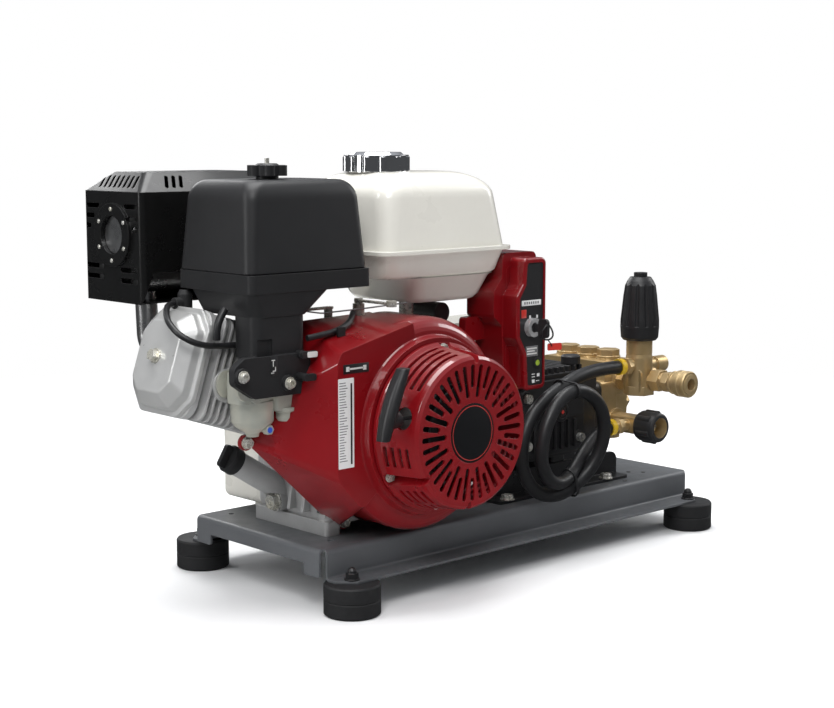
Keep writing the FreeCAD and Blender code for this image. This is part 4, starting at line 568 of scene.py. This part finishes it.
def close_switch_box():
    """Side walls of the switch housing, beside its hollow."""
    upper = [(-6.8, -14.5), (-1.2, -6.7), (0.2, 17), (3.2, 17), (1.8, -6.7), (-3.8, -14.5)]
    lower = [(3.6, -25), (0.9, 16.2), (-5.9, 27.8), (-2.9, 27.8), (3.9, 16.2), (6.6, -25)]
    prism_piece("switch_box_wall_upper", (-11.6, -106.3, 366), X_AXIS, Z_AXIS, upper, 17.4,
                M["red_gloss"], "frame")
    prism_piece("switch_box_wall_lower", (-12.8, -106.3, 254), X_AXIS, Z_AXIS, lower, 17.4,
                M["red_gloss"], "frame")
    front_plate("switch_box_shelf_upper", -13.5, -103.9, 366, 4.6, 14.2, 0.5, 2.05, M["red_gloss"])
    front_plate("switch_box_shelf_lower", -13.5, -103.9, 256.5, 4.6, 24.6, 0.5, 2.05, M["red_gloss"])


def make_hardware():
    strap("hose_tie_upper", (51, -148, 222), (0, 1, 0.05), Z_AXIS, 21.5, 9.4, 4.0, M["print_black"])
    strap("hose_tie_lower", (64, -145, 98.5), (0.35, 0.12, -0.93), (0, 1, 0), 19.5, 9.6, 4.0,
          M["print_black"])
    x, z = OIL_WINDOW_XZ
    turned("oil_window_frame", (x, -107, z), (0, -1, 0), [(13, 0), (13, 3), (11, 5), (8.5, 5), (8.5, 3.5)],
           M["pump_black"], "frame")
    turned("oil_window", (x, -110.3, z), (0, -1, 0), [(8.4, 0), (8.2, 0.6), (6.5, 0.9)], M["glass"], "frame")
    turned("oil_window_mark", (x, -111.2, z), (0, -1, 0), [(2.6, 0), (2.4, 0.2)], M["signal_red"], "frame")
    turned("valve_cover_mark", (-436, -40, 262), (-0.95, 0, 0.31), [(3, 0), (3, 0.3)], M["paint_dot_yellow"],
           "frame")
    curve_piece("governor_rod", [(-330, -84, 345), (-300, -84, 340), (-230, -83, 341), (-165, -82, 343)], 0.9,
                M["grey_zinc"], "frame", 2, 4)
    curve_piece("sleeved_wire", [(-348, -116, 318), (-330, -118, 320), (-300, -114, 323), (-272, -104, 331),
                                 (-258, -90, 338)], 3.6, M["black_hose"], "frame", 3, 5)
    front_plate("wire_clip", -302, -119, 322, 5.5, 5.5, 1, 3, M["print_black"])
    key_ring = [(2 + 9.5 * math.cos(t), -158 + 2 * math.sin(2 * t), 300 + 9.5 * math.sin(t))
                for t in (2 * math.pi * k / 24 for k in range(25))]
    curve_piece("key_ring", key_ring, 1.1, M["black_plastic"], "key", 2, 4)
    curve_piece("key_tag_cord", [(3, -158, 290.5), (6, -158.6, 287), (8.5, -159, 284.5), (9.5, -159, 282)],
                0.7, M["black_plastic"], "key", 2, 4)
    prism_piece("key_tag", (14, -159, 281), (0.9, -0.3, 0), (0.1, 0.1, 1),
                rounded_rect(0, 0, 10, 4.5, 2, 3), 1.2, M["signal_red"], "key")
    for number, (x, z) in enumerate(((-437, 283), (-373, 270)), 1):
        turned(f"intake_screw_{number}", (x, -116, z), (0, -1, 0),
               [(7, 0), (7, 1), (5, 1.2), (5, 5), (4.4, 5.6), (2.6, 5.6), (2.6, 3)], M["zinc_steel"], "frame")
    front_plate("choke_sign", -392, -112, 290, 5, 11, 0.5, 0.3, M["print_black"])
    bars("choke_sign_marks", (-392, -112.4, 290), X_AXIS, Z_AXIS,
         [(-1, 7, 5, 1), (-1, 3, 1, 6), (2, -3, 1, 5), (-2, -7, 4, 1), (0, -5, 4, 1)],
         M["soft_white"], "frame")
    front_plate("choke_tip", -344, -120, 300, 7, 3.2, 1.5, 1.2, M["soft_white"], "choke")
    turned("drain_mark", (-389, -100, 217), (0, -1, 0), [(3.4, 0), (3.2, 0.3)], M["paint_dot_blue"], "frame")
    y, z = MUFFLER_OUTLET_YZ
    turned("outlet_screen", (-440, y, z), (-1, 0, 0), [(21.5, 0), (21.5, 1), (19, 2)], M["wire_screen"],
           "frame")
    turned("inlet_screen", (INLET[0], -152, INLET[1]), (0, -1, 0), [(12.5, 0), (12.5, 1), (9, 5), (4, 6)],
           M["wire_screen"], "supply_nut")
    for k in range(6):
        angle = math.radians(60 * k + 30)
        place = (-454, y + MUFFLER_OUTLET_SCREWS_R * math.cos(angle),
                 z + MUFFLER_OUTLET_SCREWS_R * math.sin(angle))
        turned(f"outlet_screw_{k + 1}", place, (-1, 0, 0), [(2.6, 0), (2.5, 0.8), (1.6, 1.2)],
               M["zinc_steel"], "frame", 16)
    curve_piece("breather_tube", [(-424, -66, 352), (-432, -67, 342), (-437, -68, 330), (-437, -68, 319)],
                4.4, M["black_hose"], "frame")
    for x, z in ((-97, 117), (-258, 86)):
        turned("paint_mark", (x + 3, -71.5, z + 1), (0, -1, 0), [(1.6, 0), (1.5, 0.2)], M["paint_dot_yellow"],
               "frame", 16)


# ---- stage ----
def area_light(name, place, target, size, power, color=(1, 1, 1), size_y=None):
    data = bpy.data.lights.new(name, "AREA")
    data.energy = power
    data.color = color
    data.size = size
    if size_y:
        data.shape = "RECTANGLE"
        data.size_y = size_y
    made = bpy.data.objects.new(name, data)
    made.location = place
    made.rotation_mode = "QUATERNION"
    made.rotation_quaternion = (Vector(target) - Vector(place)).to_track_quat("-Z", "Y")
    COLLECTION.objects.link(made)
    return made


def make_world(scene):
    """Dim room with a bright ceiling for light and reflections; the backdrop itself is plain white."""
    world = bpy.data.worlds.new("studio")
    scene.world = world
    world.use_nodes = True
    tree = world.node_tree
    direction = add(tree, "ShaderNodeTexCoord").outputs["Generated"]
    parts = add(tree, "ShaderNodeSeparateXYZ")
    tree.links.new(direction, parts.inputs["Vector"])
    height = spread(tree, parts.outputs["Z"], 0.0, 0.75, 0.0, 1.0)
    room = tree.nodes["Background"]
    tree.links.new(mix(tree, height, (0.13, 0.135, 0.14), (0.8, 0.83, 0.88)), room.inputs["Color"])
    room.inputs["Strength"].default_value = 0.55
    sheet = add(tree, "ShaderNodeBackground")
    sheet.inputs["Color"].default_value = (1.0, 1.0, 1.0, 1.0)
    seen = add(tree, "ShaderNodeLightPath")
    both = add(tree, "ShaderNodeMixShader")
    tree.links.new(seen.outputs["Is Camera Ray"], both.inputs[0])
    tree.links.new(room.outputs[0], both.inputs[1])
    tree.links.new(sheet.outputs[0], both.inputs[2])
    tree.links.new(both.outputs[0], tree.nodes["World Output"].inputs["Surface"])


def make_floor():
    """A round white floor that fades out into the backdrop."""
    mesh = bpy.data.meshes.new("floor")
    work = bmesh.new()
    bmesh.ops.create_circle(work, cap_ends=True, radius=FLOOR_R, segments=96)
    work.to_mesh(mesh)
    work.free()
    floor = bpy.data.objects.new("floor", mesh)
    COLLECTION.objects.link(floor)
    paper = surface("floor_paper", (0.93, 0.93, 0.93), 0.85, specular=0.0, tone=0.01, grain_scale=300,
                    grain=0.02)
    tree = paper.node_tree
    coord = add(tree, "ShaderNodeTexCoord").outputs["Object"]
    reach = add(tree, "ShaderNodeVectorMath", operation="LENGTH")
    tree.links.new(coord, reach.inputs[0])
    fade = spread(tree, reach.outputs["Value"], FLOOR_R * 0.4, FLOOR_R * 0.95, 0.0, 1.0)
    clear = add(tree, "ShaderNodeBsdfTransparent")
    both = add(tree, "ShaderNodeMixShader")
    tree.links.new(fade, both.inputs[0])
    tree.links.new(tree.nodes["Principled BSDF"].outputs[0], both.inputs[1])
    tree.links.new(clear.outputs[0], both.inputs[2])
    tree.links.new(both.outputs[0], tree.nodes["Material Output"].inputs["Surface"])
    floor.data.materials.append(paper)
    floor.visible_glossy = False


def make_stage():
    scene = bpy.context.scene
    scene.view_settings.view_transform = "Standard"
    scene.view_settings.look = "None"
    make_world(scene)
    make_floor()
    area_light("top_box", (-0.1, 0.2, 2.5), (0, 0, 0.2), 2.2, 62, size_y=1.5)
    area_light("key_box", (-1.7, -1.5, 2.3), (-0.1, 0, 0.3), 1.0, 34, size_y=1.0)
    area_light("left_strip", (-2.5, 0.6, 1.2), (-0.2, 0, 0.3), 0.5, 20, size_y=1.8)
    area_light("right_box", (2.4, -0.7, 1.5), (0.1, 0, 0.2), 0.9, 20, size_y=1.4)
    area_light("back_box", (0.4, 2.5, 1.5), (0, 0, 0.3), 1.6, 22, size_y=1.0)


make_camera()
make_materials()
make_hose()
dress_nodes()
paint_details()
make_cleaner()
make_tank()
make_labels()
close_switch_box()
make_hardware()
make_stage()
